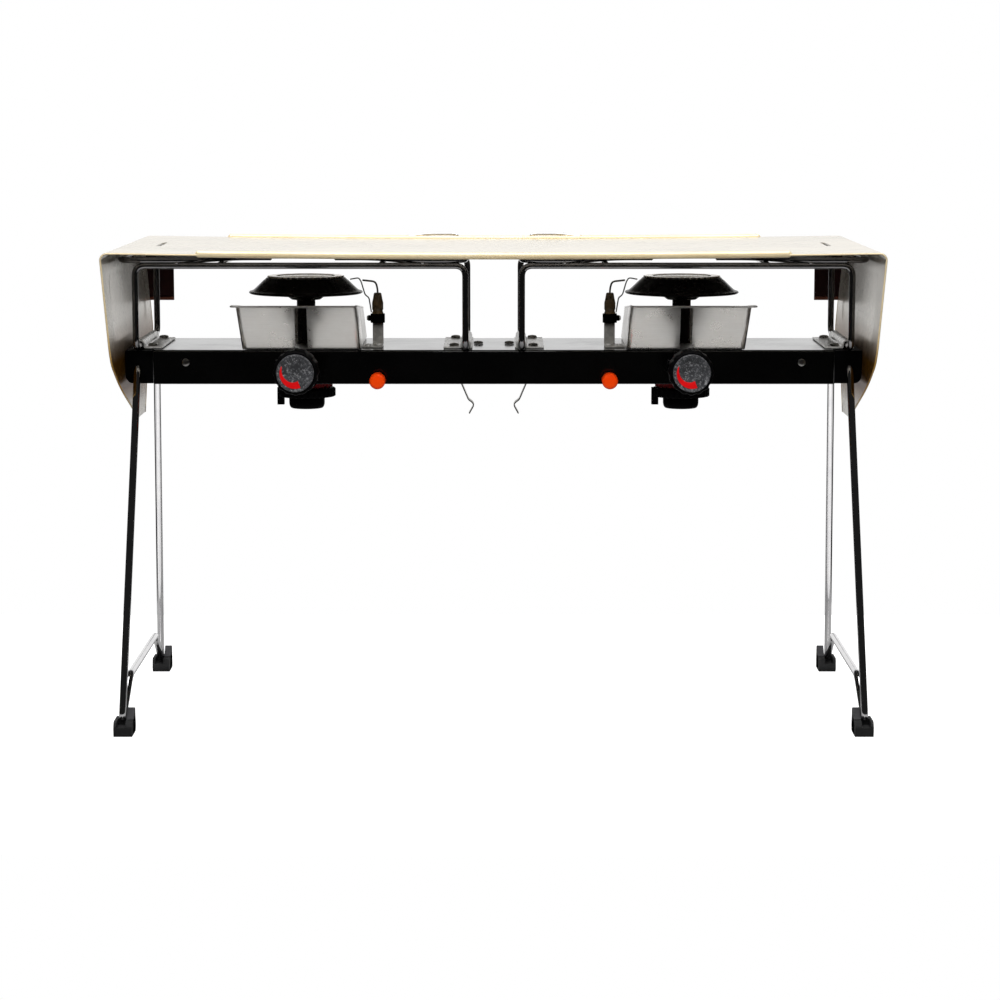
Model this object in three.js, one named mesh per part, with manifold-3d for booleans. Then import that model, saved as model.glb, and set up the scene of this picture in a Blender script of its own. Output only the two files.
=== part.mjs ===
// Two-burner camp stove on folding wire legs, with a bent sheet cover that slides on over the grates.
// Units are millimetres. X runs to the right, Y to the back and Z up. The stove stands on Z = 0.
// Pieces that come in pairs are built for the right-hand side (X > 0) and mirrored for the left.

import * as THREE from 'three';
import { mergeVertices } from 'three/addons/utils/BufferGeometryUtils.js';
import Module from 'manifold-3d';

const wasm = await Module();
wasm.setup();

// ---------------------------------------------------------------- driving dimensions

// The gap left between parts that touch, and the play round a part that moves or passes through a hole.
const GAP = 0.3;
const PLAY = 0.4;
// How far a cutter runs past the face it cuts.
const OVERSHOOT = 5;

const BURNER_X = 157.8;

const BEAM = { halfLength: 279.6, halfDepth: 60, bottom: 278, top: 306, wall: 1.5, edge: 2.5 };
const CAP = { inner: 280, outer: 302.4, bottom: 278.6, top: 305.7, halfDepth: 60.2, corner: 6 };

const HINGE = { x: 292, z: 292, y: 65.5, pinEnd: 54 };
const LEG = { radius: 3, footX: 301, footY: 132, footZ: 10.5, barY: 87, barZ: 40, bend: 8 };
const FOOT_WIDTH = 18;

const GRATE = { radius: 2.6, buttRadius: 2.45, outerX: 292, innerX: 23, y: 73, railZ: 376, baseZ: 309.2,
  bend: 9 };
const PRONG = { z: 380.5, outerEnd: 305, innerEnd: 23.2, spread: 31, reach: 26, bendFrom: 87, bendTo: 57,
  loop: 18 };
const CROSS_BAR_REACH = 66;

const CLAMP = { thickness: 1.4, flat: 18.5, foot: 5.4, halfDepth: 48, screwReach: 9.7, screwY: 39 };
const SCREW = { headRadius: 4, headHeight: 2.2, shankRadius: 1.7, shankLength: 6 };
const CLIP_SCREW_X = 13;
const CASE_SCREW = { x: 253, z: 296, headRadius: 3.3 };

const PAN = { wall: 0.8, bottom: 306.4, top: 343.2, reach: 48.4, halfDepth: 58,
  topInner: 45.6, topOuter: 53, topFront: 71, rim: 4.6, slot: 10, slopeFrom: -62, backTop: 333 };

const TUBE = { radius: 7.8, bottom: 300, top: 343.2 };
const HEAD = { hubRadius: 12, rimRadius: 47.8, rimZ: 349.8, topRadius: 32.4, topZ: 362, bowlRadius: 24,
  bowlDepth: 3.2 };
const RING = { inner: 24.4, outer: 32.2, top: 363.6 };

const VALVE = { halfWidth: 13, front: -46, back: 20, bottom: 278, top: 299.6, neckRadius: 11.6,
  neckEnd: 261 };
const LOCK_RING = { radius: 21.8, bottom: 269.6, top: 276.4 };
const COLLAR = { bore: 12, flangeRadius: 24.3, flangeTop: 269.2, flangeBottom: 262, radius: 15,
  bottom: 252 };
const LUG = { inner: 19, outer: 24.8, halfDepth: 4, bottom: 255 };

const KNOB = { z: 294.3, face: -135.3, gripBack: -112, skirtBack: -100, hubBack: -64, stemBack: -46.5,
  gripRadius: 17.8, lobeHeight: 1.2, lobes: 16, skirtRadius: 16.5, hubRadius: 8.5, stemRadius: 4 };
const DIAL = { radius: 15, front: -139, back: -135.6 };

const BUTTON = { x: 95, z: 282, radius: 6.5, front: -81, back: -68, stemRadius: 3, stemBack: -50 };
const PIEZO = { radius: 6.2, front: -62.6, back: -24, boreBack: -44 };

const IGNITER = { x: 96.8, y: -19, baseTop: 307.4, bracketTop: 329, width: 9, sheet: 1.2 };
const INSULATOR = { bottom: 325, shoulder: 342, top: 350.4, radius: 4.7, topRadius: 3.2 };
const ELECTRODE_RADIUS = 0.8;

const CLIP = { thickness: 0.9, halfWidth: 6, top: 304.1, root: 6 };

const COVER = { top: 390, sheet: 1.2, halfDepth: 140, sag: 2.5, sagReach: 300, cornerX: 311.4,
  cornerRadius: 6, waistX: 304.6, waistZ: 303, hipX: 304.3, hipZ: 278, tipX: 298.4, tipZ: 246,
  tipHalfDepth: 23.5, edgeRadius: 14 };
const BEAD = { radius: 2.7, reach: 236 };
const HAND_SLOT = { halfWidth: 54, front: -128, back: -104 };
const SIDE_SLOT = { x: 278, halfWidth: 1.9, halfDepth: 28 };
const RETURN_TAB = { inner: 287, bottom: 333 };
const EMBOSS = { proud: 0.8, halfDepth: 104, bottom: 318, top: 372, corner: 12 };
const HOOK = { radius: 1.4, y: 141.9, low: 385.6, high: 391.6, rise: 30, from: 34, to: 57, end: 92 };

// ---------------------------------------------------------------- solids

// Turns a closed geometry into a manifold solid, with its faces pointing out.
function solidOf(geometry) {
  const bare = geometry.clone();
  bare.deleteAttribute('normal');
  bare.deleteAttribute('uv');
  const merged = mergeVertices(bare, 1e-4);
  const triangles = new Uint32Array(merged.index.array);
  const points = new Float32Array(merged.attributes.position.array);
  if (signedVolume(points, triangles) < 0) {
    triangles.reverse();
  }
  return new wasm.Manifold(new wasm.Mesh({ numProp: 3, vertProperties: points, triVerts: triangles }));
}

function signedVolume(points, triangles) {
  const corner = (index) => new THREE.Vector3().fromArray(points, 3 * triangles[index]);
  let total = 0;
  for (let index = 0; index < triangles.length; index += 3) {
    total += corner(index).dot(corner(index + 1).cross(corner(index + 2)));
  }
  return total / 6;
}

function geometryOf(solid) {
  const mesh = solid.getMesh();
  const geometry = new THREE.BufferGeometry();
  geometry.setAttribute('position', new THREE.BufferAttribute(mesh.vertProperties, 3));
  geometry.setIndex(new THREE.BufferAttribute(mesh.triVerts, 1));
  return geometry;
}

function join(...geometries) {
  return geometryOf(geometries.map(solidOf).reduce((whole, piece) => whole.add(piece)));
}

function cut(geometry, ...tools) {
  return geometryOf(tools.map(solidOf).reduce((whole, tool) => whole.subtract(tool), solidOf(geometry)));
}

function overlapOf(geometry, other) {
  return geometryOf(solidOf(geometry).intersect(solidOf(other)));
}

function mirrored(geometry) {
  return geometryOf(solidOf(geometry.clone().scale(-1, 1, 1)));
}

// ---------------------------------------------------------------- basic shapes

function box(x0, x1, y0, y1, z0, z1) {
  return new THREE.BoxGeometry(x1 - x0, y1 - y0, z1 - z0)
    .translate((x0 + x1) / 2, (y0 + y1) / 2, (z0 + z1) / 2);
}

// A box whose top rectangle differs from its bottom one: each is [x0, x1, y0, y1].
function taperedBox(bottom, top, z0, z1) {
  const geometry = new THREE.BoxGeometry(1, 1, 1);
  const position = geometry.attributes.position;
  for (let index = 0; index < position.count; index += 1) {
    const rectangle = position.getZ(index) > 0 ? top : bottom;
    const x = rectangle[position.getX(index) > 0 ? 1 : 0];
    const y = rectangle[position.getY(index) > 0 ? 3 : 2];
    position.setXYZ(index, x, y, position.getZ(index) > 0 ? z1 : z0);
  }
  return geometry;
}

function cylinderZ(x, y, radius, z0, z1, sides = 16) {
  return new THREE.CylinderGeometry(radius, radius, z1 - z0, sides)
    .rotateX(Math.PI / 2)
    .translate(x, y, (z0 + z1) / 2);
}

function cylinderY(x, z, radius, y0, y1, sides = 16) {
  return new THREE.CylinderGeometry(radius, radius, y1 - y0, sides).translate(x, (y0 + y1) / 2, z);
}

// Profiles are lists of [radius, z], turned about a vertical line through x, y.
function turned(x, y, profile, sides = 24) {
  const points = profile.map(([radius, z]) => new THREE.Vector2(radius, z));
  return new THREE.LatheGeometry(points, sides).rotateX(Math.PI / 2).translate(x, y, 0);
}

function polygon(points) {
  return new THREE.Shape(points.map(([u, v]) => new THREE.Vector2(u, v)));
}

function roundedRectangle(u0, u1, v0, v1, radius) {
  const quarter = Math.PI / 2;
  const shape = new THREE.Shape();
  shape.absarc(u1 - radius, v0 + radius, radius, -quarter, 0);
  shape.absarc(u1 - radius, v1 - radius, radius, 0, quarter);
  shape.absarc(u0 + radius, v1 - radius, radius, quarter, 2 * quarter);
  shape.absarc(u0 + radius, v0 + radius, radius, 2 * quarter, 3 * quarter);
  return shape;
}

function extrude(shape, depth, curveSegments = 4) {
  return new THREE.ExtrudeGeometry(shape, { depth, curveSegments, bevelEnabled: false });
}

// The shape lies in Y and Z, and runs from x0 to x1.
function extrudeX(shape, x0, x1) {
  const axes = new THREE.Matrix4().makeBasis(
    new THREE.Vector3(0, 1, 0), new THREE.Vector3(0, 0, 1), new THREE.Vector3(1, 0, 0));
  return extrude(shape, x1 - x0).applyMatrix4(axes).translate(x0, 0, 0);
}

// The shape lies in X and Z, and runs from y0 to y1.
function extrudeY(shape, y0, y1) {
  return extrude(shape, y1 - y0).rotateX(Math.PI / 2).translate(0, y1, 0);
}

// The shape lies in X and Y, and runs from z0 to z1.
function extrudeZ(shape, z0, z1) {
  return extrude(shape, z1 - z0).translate(0, 0, z0);
}

// ---------------------------------------------------------------- bent wire

// A curve through listed points that takes one step for each stretch between two of them.
class SteppedPath extends THREE.Curve {
  constructor(points) {
    super();
    this.points = points;
  }

  get steps() {
    return this.points.length - 1;
  }

  getPoint(t) {
    const place = Math.min(Math.max(t, 0), 1) * this.steps;
    const index = Math.min(Math.floor(place), this.steps - 1);
    return this.points[index].clone().lerp(this.points[index + 1], place - index);
  }

  getPointAt(u) {
    return this.getPoint(u);
  }

  getTangentAt(u) {
    return this.getTangent(u);
  }
}

// Rounds each inner corner of a polyline, so that a wire bends instead of folding.
function bentPath(corners, bend, stepsPerBend = 4) {
  const longestShare = 0.45;
  const points = corners.map((corner) => new THREE.Vector3(...corner));
  const path = [points[0]];
  for (let index = 1; index < points.length - 1; index += 1) {
    const corner = points[index];
    const toward = (other) => {
      const reach = Math.min(bend, corner.distanceTo(other) * longestShare);
      return corner.clone().add(other.clone().sub(corner).setLength(reach));
    };
    const [before, after] = [toward(points[index - 1]), toward(points[index + 1])];
    path.push(...new THREE.QuadraticBezierCurve3(before, corner, after).getPoints(stepsPerBend));
  }
  path.push(points[points.length - 1]);
  return new SteppedPath(path);
}

function wire(path, radius, halfSides = 4) {
  const section = new THREE.Shape().absarc(0, 0, radius, 0, 2 * Math.PI);
  return new THREE.ExtrudeGeometry(section, {
    steps: path.steps, extrudePath: path, curveSegments: halfSides, bevelEnabled: false,
  });
}

// ---------------------------------------------------------------- beam and its ends

function beam() {
  const { halfLength, halfDepth, bottom, top, wall, edge } = BEAM;
  const quarter = Math.PI / 2;
  const section = new THREE.Shape();
  section.moveTo(halfDepth - wall, bottom);
  section.lineTo(halfDepth, bottom);
  section.absarc(halfDepth - edge, top - edge, edge, 0, quarter);
  section.absarc(edge - halfDepth, top - edge, edge, quarter, 2 * quarter);
  section.lineTo(-halfDepth, bottom);
  section.lineTo(wall - halfDepth, bottom);
  section.lineTo(wall - halfDepth, top - wall);
  section.lineTo(halfDepth - wall, top - wall);

  // The outer clamps are screwed to the end caps, so only the inner ones need holes here.
  const screwHole = SCREW.shankRadius + PLAY;
  const clampScrewX = GRATE.innerX + CLAMP.screwReach;
  const topHole = (x, y, radius, sides) => cylinderZ(x, y, radius, top - OVERSHOOT, top + OVERSHOOT, sides);
  const frontHole = (x, z, radius, sides) =>
    cylinderY(x, z, radius, -halfDepth - OVERSHOOT, OVERSHOOT - halfDepth, sides);
  const holes = [-1, 1].flatMap((side) => [
    topHole(side * BURNER_X, 0, TUBE.radius + 2 * PLAY),
    topHole(side * CLIP_SCREW_X, 0, screwHole, 8),
    topHole(side * clampScrewX, -CLAMP.screwY, screwHole, 8),
    topHole(side * clampScrewX, CLAMP.screwY, screwHole, 8),
    frontHole(side * BURNER_X, KNOB.z, KNOB.stemRadius + 2),
    frontHole(side * BUTTON.x, BUTTON.z, PIEZO.radius + PLAY),
    frontHole(side * CASE_SCREW.x, CASE_SCREW.z, screwHole, 8),
  ]);
  return cut(extrudeX(section, -halfLength, halfLength), ...holes);
}

function endCap() {
  const { inner, outer, bottom, top, halfDepth, corner } = CAP;
  const section = new THREE.Shape();
  section.moveTo(inner, top);
  section.lineTo(inner, bottom);
  section.absarc(outer - corner, bottom + corner, corner, -Math.PI / 2, 0);
  section.lineTo(outer, top);
  const wall = 3;
  const block = extrudeY(section, -halfDepth, halfDepth);
  const hollowEnd = HINGE.pinEnd - 6;
  const hollow = box(inner + wall, outer - wall, -hollowEnd, hollowEnd, bottom - 1, top - wall);
  const bores = [-1, 1].map((end) => {
    const ends = [end * (HINGE.pinEnd - 1), end * (halfDepth + 1)].sort((a, b) => a - b);
    return cylinderY(HINGE.x, HINGE.z, LEG.radius + PLAY, ends[0], ends[1], 16);
  });
  const screwX = GRATE.outerX - CLAMP.screwReach;
  const screwHoles = [-1, 1].map((end) =>
    cylinderZ(screwX, end * CLAMP.screwY, SCREW.shankRadius + PLAY, top - 8, top + 1, 8));
  return cut(block, hollow, ...bores, ...screwHoles);
}

// ---------------------------------------------------------------- folding legs

function legPath() {
  const { footX, footY, footZ, barY, barZ, bend } = LEG;
  const barX = HINGE.x + (footX - HINGE.x) * (HINGE.z - barZ) / (HINGE.z - footZ);
  const frontHalf = [
    [HINGE.x, -HINGE.pinEnd, HINGE.z],
    [HINGE.x, -HINGE.y, HINGE.z],
    [footX, -footY, footZ],
    [barX, -barY, barZ],
  ];
  const backHalf = frontHalf.map(([x, y, z]) => [x, -y, z]).reverse();
  return bentPath([...frontHalf, ...backHalf], bend);
}

function legFrame() {
  return wire(legPath(), LEG.radius, 5);
}

// A rubber elbow round the bend at the bottom of the leg. end is -1 at the front and 1 at the back.
function foot(end) {
  const { footY, footX } = LEG;
  const outline = [
    [-11.5, 0], [13, 0], [24, 15], [16, 25.5], [6, 20.5], [2.5, 22], [-9, 21], [-12, 12],
  ];
  const section = polygon(outline.map(([inward, z]) => [end * (footY - inward), z]));
  const elbow = extrudeX(section, footX - FOOT_WIDTH / 2, footX + FOOT_WIDTH / 2);
  return cut(elbow, wire(legPath(), LEG.radius + PLAY, 5));
}

// ---------------------------------------------------------------- grates

// The half of the base frame nearest one end: a rail, a post, a run across the beam, a post and a rail.
// The two halves butt in the middle of the rails, and the inner one is thinner, to end inside the other.
function grateFrame(endX, radius) {
  const { y, railZ, baseZ, bend } = GRATE;
  const meetX = BURNER_X + Math.sign(BURNER_X - endX);
  const path = bentPath([
    [meetX, -y, railZ], [endX, -y, railZ], [endX, -y, baseZ],
    [endX, y, baseZ], [endX, y, railZ], [meetX, y, railZ],
  ], bend);
  return wire(path, radius, 3);
}

// A hairpin that lies on the rails, steps in toward the burner and ends in two prongs.
function grateProngs(endX) {
  const { z, spread, reach, bendFrom, bendTo, loop } = PRONG;
  const side = Math.sign(endX - BURNER_X);
  const at = (distance) => BURNER_X + side * distance;
  const path = bentPath([
    [at(reach), -spread, z], [at(bendTo), -spread, z], [at(bendFrom), -GRATE.y, z], [endX, -GRATE.y, z],
    [endX, GRATE.y, z], [at(bendFrom), GRATE.y, z], [at(bendTo), spread, z], [at(reach), spread, z],
  ], loop);
  return wire(path, GRATE.radius, 3);
}

function crossBar(x) {
  return cylinderY(x, GRATE.railZ, GRATE.radius, -GRATE.y, GRATE.y, 6);
}

function grate() {
  return join(
    grateFrame(GRATE.outerX, GRATE.radius), grateFrame(GRATE.innerX, GRATE.buttRadius),
    crossBar(BURNER_X - CROSS_BAR_REACH), crossBar(BURNER_X + CROSS_BAR_REACH),
    grateProngs(PRONG.outerEnd), grateProngs(PRONG.innerEnd));
}

// A strap bent over the grate's base wire. toward is the side its screws are on, -1 or 1 along X.
function grateClamp(wireX, toward) {
  const { thickness, flat, foot: footReach, halfDepth, screwReach, screwY } = CLAMP;
  const bottom = BEAM.top + GAP;
  const inner = GRATE.radius + PLAY;
  const outer = inner + thickness;
  const section = new THREE.Shape();
  section.moveTo(flat, bottom);
  section.lineTo(inner, bottom);
  section.absarc(0, GRATE.baseZ, inner, 0, Math.PI);
  section.lineTo(-inner, bottom);
  section.lineTo(-footReach, bottom);
  section.lineTo(-footReach, bottom + thickness);
  section.lineTo(-outer, bottom + thickness);
  section.absarc(0, GRATE.baseZ, outer, Math.PI, 0, true);
  section.lineTo(outer, bottom + thickness);
  section.lineTo(flat, bottom + thickness);
  const strap = extrudeY(section, -halfDepth, halfDepth);
  const holes = [-screwY, screwY].map((y) =>
    cylinderZ(screwReach, y, SCREW.shankRadius + PLAY, bottom - 1, bottom + thickness + 1, 8));
  const placed = cut(strap, ...holes);
  return toward > 0 ? placed.translate(wireX, 0, 0) : mirrored(placed).translate(wireX, 0, 0);
}

// ---------------------------------------------------------------- screws

function screwProfile(seat, headRadius) {
  const { headHeight, shankRadius, shankLength } = SCREW;
  const top = seat + headHeight;
  return [
    [0, top], [headRadius * 0.6, top - 0.2], [headRadius, top - 1.2], [headRadius, seat],
    [shankRadius, seat], [shankRadius, seat - shankLength], [0, seat - shankLength],
  ];
}

function topScrew(x, y, seat) {
  return turned(x, y, screwProfile(seat, SCREW.headRadius), 8);
}

function caseScrew() {
  const seat = BEAM.halfDepth + GAP;
  return turned(0, 0, screwProfile(seat, CASE_SCREW.headRadius), 8)
    .rotateX(Math.PI / 2)
    .translate(CASE_SCREW.x, 0, CASE_SCREW.z);
}

// ---------------------------------------------------------------- spring clip that holds a folded leg

function springClip() {
  const { thickness, halfWidth, top, root } = CLIP;
  const leaf = [
    [root, top], [40.5, top], [27.5, 272.4], [21.8, 259], [18.4, 256.6], [17.3, 254.6], [21.1, 248.2],
  ];
  const clip = extrudeY(polygon(thickened(leaf, thickness)), -halfWidth, halfWidth);
  return cut(clip, cylinderZ(CLIP_SCREW_X, 0, SCREW.shankRadius + PLAY, top - 3, top + 3, 8));
}

// Closes an open line of [u, v] points into a strip, by adding the same line moved to its right.
function thickened(line, thickness) {
  const points = line.map(([u, v]) => new THREE.Vector2(u, v));
  const moved = points.map((point, index) => {
    const before = points[Math.max(index - 1, 0)];
    const after = points[Math.min(index + 1, points.length - 1)];
    const along = after.clone().sub(before).normalize();
    return [point.x + along.y * thickness, point.y - along.x * thickness];
  });
  return [...line, ...moved.reverse()];
}

// ---------------------------------------------------------------- burner group

// Its sides slope down from the front wall to a lower back wall, and only the front wall keeps its rim.
function dripPan() {
  const { wall, bottom, top, reach, halfDepth, topInner, topOuter, topFront, rim, slot } = PAN;
  const { slopeFrom, backTop } = PAN;
  const base = [BURNER_X - reach, BURNER_X + reach, -halfDepth, halfDepth];
  const mouth = [BURNER_X - topInner, BURNER_X + topOuter, -topFront, halfDepth];
  const shrunk = ([x0, x1, y0, y1]) => [x0 + wall, x1 - wall, y0 + wall, y1 - wall];
  const shell = taperedBox(base, mouth, bottom, top);
  const flange = box(mouth[0], mouth[1] + rim, mouth[2] - rim, mouth[3], top - wall, top);
  const hollow = taperedBox(shrunk(base), shrunk(mouth), bottom + wall, top + wall);
  const frontSlot = box(
    BURNER_X - slot / 2, BURNER_X + slot / 2, -topFront - 1, -halfDepth / 2, bottom + wall, top - 2);
  const tubeHole = cylinderZ(BURNER_X, 0, TUBE.radius + 2 * PLAY, bottom - 1, bottom + 2);
  const aboveSides = polygon([
    [slopeFrom, top + 1], [slopeFrom + 0.5, top - 2 * wall], [halfDepth + 1, backTop],
    [halfDepth + 1, top + 1],
  ]);
  const slope = extrudeX(aboveSides, mouth[0] - OVERSHOOT, mouth[1] + rim + OVERSHOOT);
  return cut(join(shell, flange), hollow, frontSlot, tubeHole, slope);
}

function burnerTube() {
  return cylinderZ(BURNER_X, 0, TUBE.radius, TUBE.bottom, TUBE.top);
}

function burnerHead() {
  const { hubRadius, rimRadius, rimZ, topRadius, topZ, bowlRadius, bowlDepth } = HEAD;
  const bottom = TUBE.top + GAP;
  const bowlZ = topZ - bowlDepth;
  return turned(BURNER_X, 0, [
    [0, bottom], [hubRadius, bottom], [hubRadius + 3, bottom + 2.1], [hubRadius + 8, bottom + 3.1],
    [rimRadius - 1.3, rimZ - 1.2], [rimRadius, rimZ], [rimRadius - 0.7, rimZ + 0.8],
    [rimRadius - 4.4, rimZ + 2.4], [topRadius + 1.8, topZ - 1.4], [topRadius, topZ],
    [bowlRadius, topZ], [bowlRadius - 2, bowlZ], [0, bowlZ],
  ]);
}

function burnerRing() {
  const { inner, outer, top } = RING;
  const bottom = HEAD.topZ + GAP;
  return turned(BURNER_X, 0, [
    [inner, bottom], [outer, bottom], [outer, top - 0.4], [outer - 0.6, top], [inner + 0.6, top],
    [inner, top - 0.4], [inner, bottom],
  ]);
}

// ---------------------------------------------------------------- gas valve, knob and canister socket

function valveBody() {
  const { halfWidth, front, back, bottom, top, neckRadius, neckEnd } = VALVE;
  const outline = roundedRectangle(BURNER_X - halfWidth, BURNER_X + halfWidth, front, back, 4);
  const block = extrudeZ(outline, bottom, top);
  const neck = cylinderZ(BURNER_X, 0, neckRadius, neckEnd, bottom + 1);
  const stemBore = cylinderY(BURNER_X, KNOB.z, KNOB.stemRadius + PLAY, front - 1, front + 2);
  return cut(join(block, neck), stemBore);
}

function lockRing() {
  const { radius, bottom, top } = LOCK_RING;
  const bore = COLLAR.bore;
  return turned(BURNER_X, 0, [
    [bore, bottom], [radius - 0.8, bottom], [radius, bottom + 0.8], [radius, top - 0.8],
    [radius - 0.8, top], [bore, top], [bore, bottom],
  ]);
}

// The collar that a gas canister's valve screws into, with one release lug on its left.
function canisterCollar() {
  const { bore, flangeRadius, flangeTop, flangeBottom, radius, bottom } = COLLAR;
  const ring = turned(BURNER_X, 0, [
    [bore, bottom], [radius - 1.2, bottom], [radius, bottom + 1.2], [radius, flangeBottom],
    [flangeRadius, flangeBottom], [flangeRadius, flangeTop], [bore, flangeTop], [bore, bottom],
  ]);
  const [lugStart, lugEnd] = [BURNER_X - LUG.outer, BURNER_X - LUG.inner];
  return join(ring, box(lugStart, lugEnd, -LUG.halfDepth, LUG.halfDepth, LUG.bottom, flangeTop));
}

function knob() {
  const { z, face, gripBack, skirtBack, hubBack, stemBack, gripRadius, lobeHeight, lobes } = KNOB;
  const count = 4 * lobes;
  const grip = [];
  for (let index = 0; index < count; index += 1) {
    const angle = 2 * Math.PI * index / count;
    const radius = gripRadius + lobeHeight * Math.cos(lobes * angle);
    grip.push([BURNER_X + radius * Math.cos(angle), z + radius * Math.sin(angle)]);
  }
  return join(
    extrudeY(polygon(grip), face, gripBack),
    cylinderY(BURNER_X, z, KNOB.skirtRadius, gripBack - 1, skirtBack),
    cylinderY(BURNER_X, z, KNOB.hubRadius, skirtBack - 1, hubBack),
    cylinderY(BURNER_X, z, KNOB.stemRadius, hubBack - 1, stemBack, 16));
}

function knobDial() {
  const { radius, front, back } = DIAL;
  return turned(0, 0, [
    [0, -back], [radius, -back], [radius, -front - 0.8], [radius - 0.8, -front], [0, -front],
  ], 36).rotateX(Math.PI / 2).translate(BURNER_X, 0, KNOB.z);
}

// ---------------------------------------------------------------- piezo igniter

function piezoCase() {
  const { radius, front, back, boreBack } = PIEZO;
  const bore = cylinderY(BUTTON.x, BUTTON.z, BUTTON.stemRadius + PLAY, front - 1, boreBack, 16);
  return cut(cylinderY(BUTTON.x, BUTTON.z, radius, front, back), bore);
}

function igniterButton() {
  const { x, z, radius, front, back, stemRadius, stemBack } = BUTTON;
  return join(cylinderY(x, z, radius, front, back), cylinderY(x, z, stemRadius, back - 1, stemBack));
}

function igniterBracket() {
  const { x, y, baseTop, bracketTop, width, sheet } = IGNITER;
  const bottom = BEAM.top + GAP;
  const uprightY = y + INSULATOR.radius + PLAY;
  const base = box(x - width / 2, x + 12, uprightY - 26, uprightY + sheet, bottom, baseTop);
  const upright = box(x - width / 2, x + width / 2, uprightY, uprightY + sheet, bottom, bracketTop);
  return join(base, upright);
}

function igniterInsulator() {
  const { bottom, shoulder, top, radius, topRadius } = INSULATOR;
  return turned(IGNITER.x, IGNITER.y, [
    [0, bottom], [radius - 0.6, bottom], [radius, bottom + 1], [radius, shoulder], [topRadius, top],
    [0, top],
  ], 16);
}

function igniterElectrode() {
  const { x, y } = IGNITER;
  const path = bentPath([[x, y, INSULATOR.top + GAP], [x + 1.6, y, 359.6], [x + 12.6, y, 360.8]], 3);
  return wire(path, ELECTRODE_RADIUS, 4);
}

// ---------------------------------------------------------------- cover

function coverTopAt(x) {
  const away = Math.min(Math.abs(x) / COVER.sagReach, 1);
  return COVER.top - COVER.sag * (1 - away * away);
}

// The sheet's outer face in X and Z, from the left tip over the top to the right tip.
function coverLine() {
  const { cornerX, cornerRadius, waistX, waistZ, hipX, hipZ, tipX, tipZ, top, sagReach } = COVER;
  const half = [];
  const sagSteps = 6;
  for (let step = 0; step <= sagSteps; step += 1) {
    const x = sagReach * step / sagSteps;
    half.push([x, coverTopAt(x)]);
  }
  const cornerSteps = 4;
  for (let step = 0; step <= cornerSteps; step += 1) {
    const angle = Math.PI / 2 * (1 - step / cornerSteps);
    const centreX = cornerX - cornerRadius;
    const centreZ = top - cornerRadius;
    half.push([centreX + cornerRadius * Math.cos(angle), centreZ + cornerRadius * Math.sin(angle)]);
  }
  half.push([waistX, waistZ], [hipX, hipZ], [tipX, tipZ]);
  const left = half.slice(1).map(([x, z]) => [-x, z]).reverse();
  return [...left, ...half];
}

function wingOutline() {
  const { halfDepth, top, waistZ, tipZ, tipHalfDepth, edgeRadius } = COVER;
  const shape = new THREE.Shape();
  const above = top + 10;
  shape.moveTo(-halfDepth, above);
  shape.lineTo(-halfDepth, waistZ + edgeRadius);
  shape.quadraticCurveTo(-halfDepth, waistZ, edgeRadius - halfDepth, waistZ - edgeRadius / 2);
  shape.lineTo(-tipHalfDepth, tipZ);
  shape.lineTo(tipHalfDepth, tipZ);
  shape.lineTo(halfDepth - edgeRadius, waistZ - edgeRadius / 2);
  shape.quadraticCurveTo(halfDepth, waistZ, halfDepth, waistZ + edgeRadius);
  shape.lineTo(halfDepth, above);
  return shape;
}

function coverBead(y) {
  const steps = 8;
  const points = [];
  for (let step = 0; step <= steps; step += 1) {
    const x = BEAD.reach * (2 * step / steps - 1);
    points.push(new THREE.Vector3(x, y, coverTopAt(x) - 0.1));
  }
  return wire(new SteppedPath(points), BEAD.radius, 4);
}

// The sheet's wings are slanted, so a tab's outer edge follows the middle of the sheet.
function returnTab(side) {
  const { halfDepth, sheet, waistX, waistZ, cornerX, cornerRadius, top } = COVER;
  const slope = (cornerX - waistX) / (top - cornerRadius - waistZ);
  const sheetX = (z) => waistX + slope * (z - waistZ) - sheet / 2;
  const high = top - cornerRadius;
  const outline = [
    [RETURN_TAB.inner, RETURN_TAB.bottom], [sheetX(RETURN_TAB.bottom), RETURN_TAB.bottom],
    [sheetX(high), high], [cornerX - cornerRadius, top - sheet / 2],
    [RETURN_TAB.inner, top - sheet / 2 - 0.2],
  ];
  const tab = extrudeY(polygon(outline), halfDepth - sheet, halfDepth);
  return side > 0 ? tab : mirrored(tab);
}

function coverEmboss() {
  const { proud, halfDepth, bottom, top, corner } = EMBOSS;
  const line = coverLine();
  const raised = line.map(([x, z]) => [x + Math.sign(x) * proud, z]);
  const section = polygon(thickened(raised, proud + COVER.sheet / 2));
  const skin = extrudeY(section, -COVER.halfDepth, COVER.halfDepth);
  const panel = roundedRectangle(-halfDepth, halfDepth, bottom, top, corner);
  return overlapOf(skin, extrudeX(panel, -COVER.cornerX - OVERSHOOT, COVER.cornerX + OVERSHOOT));
}

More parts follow.
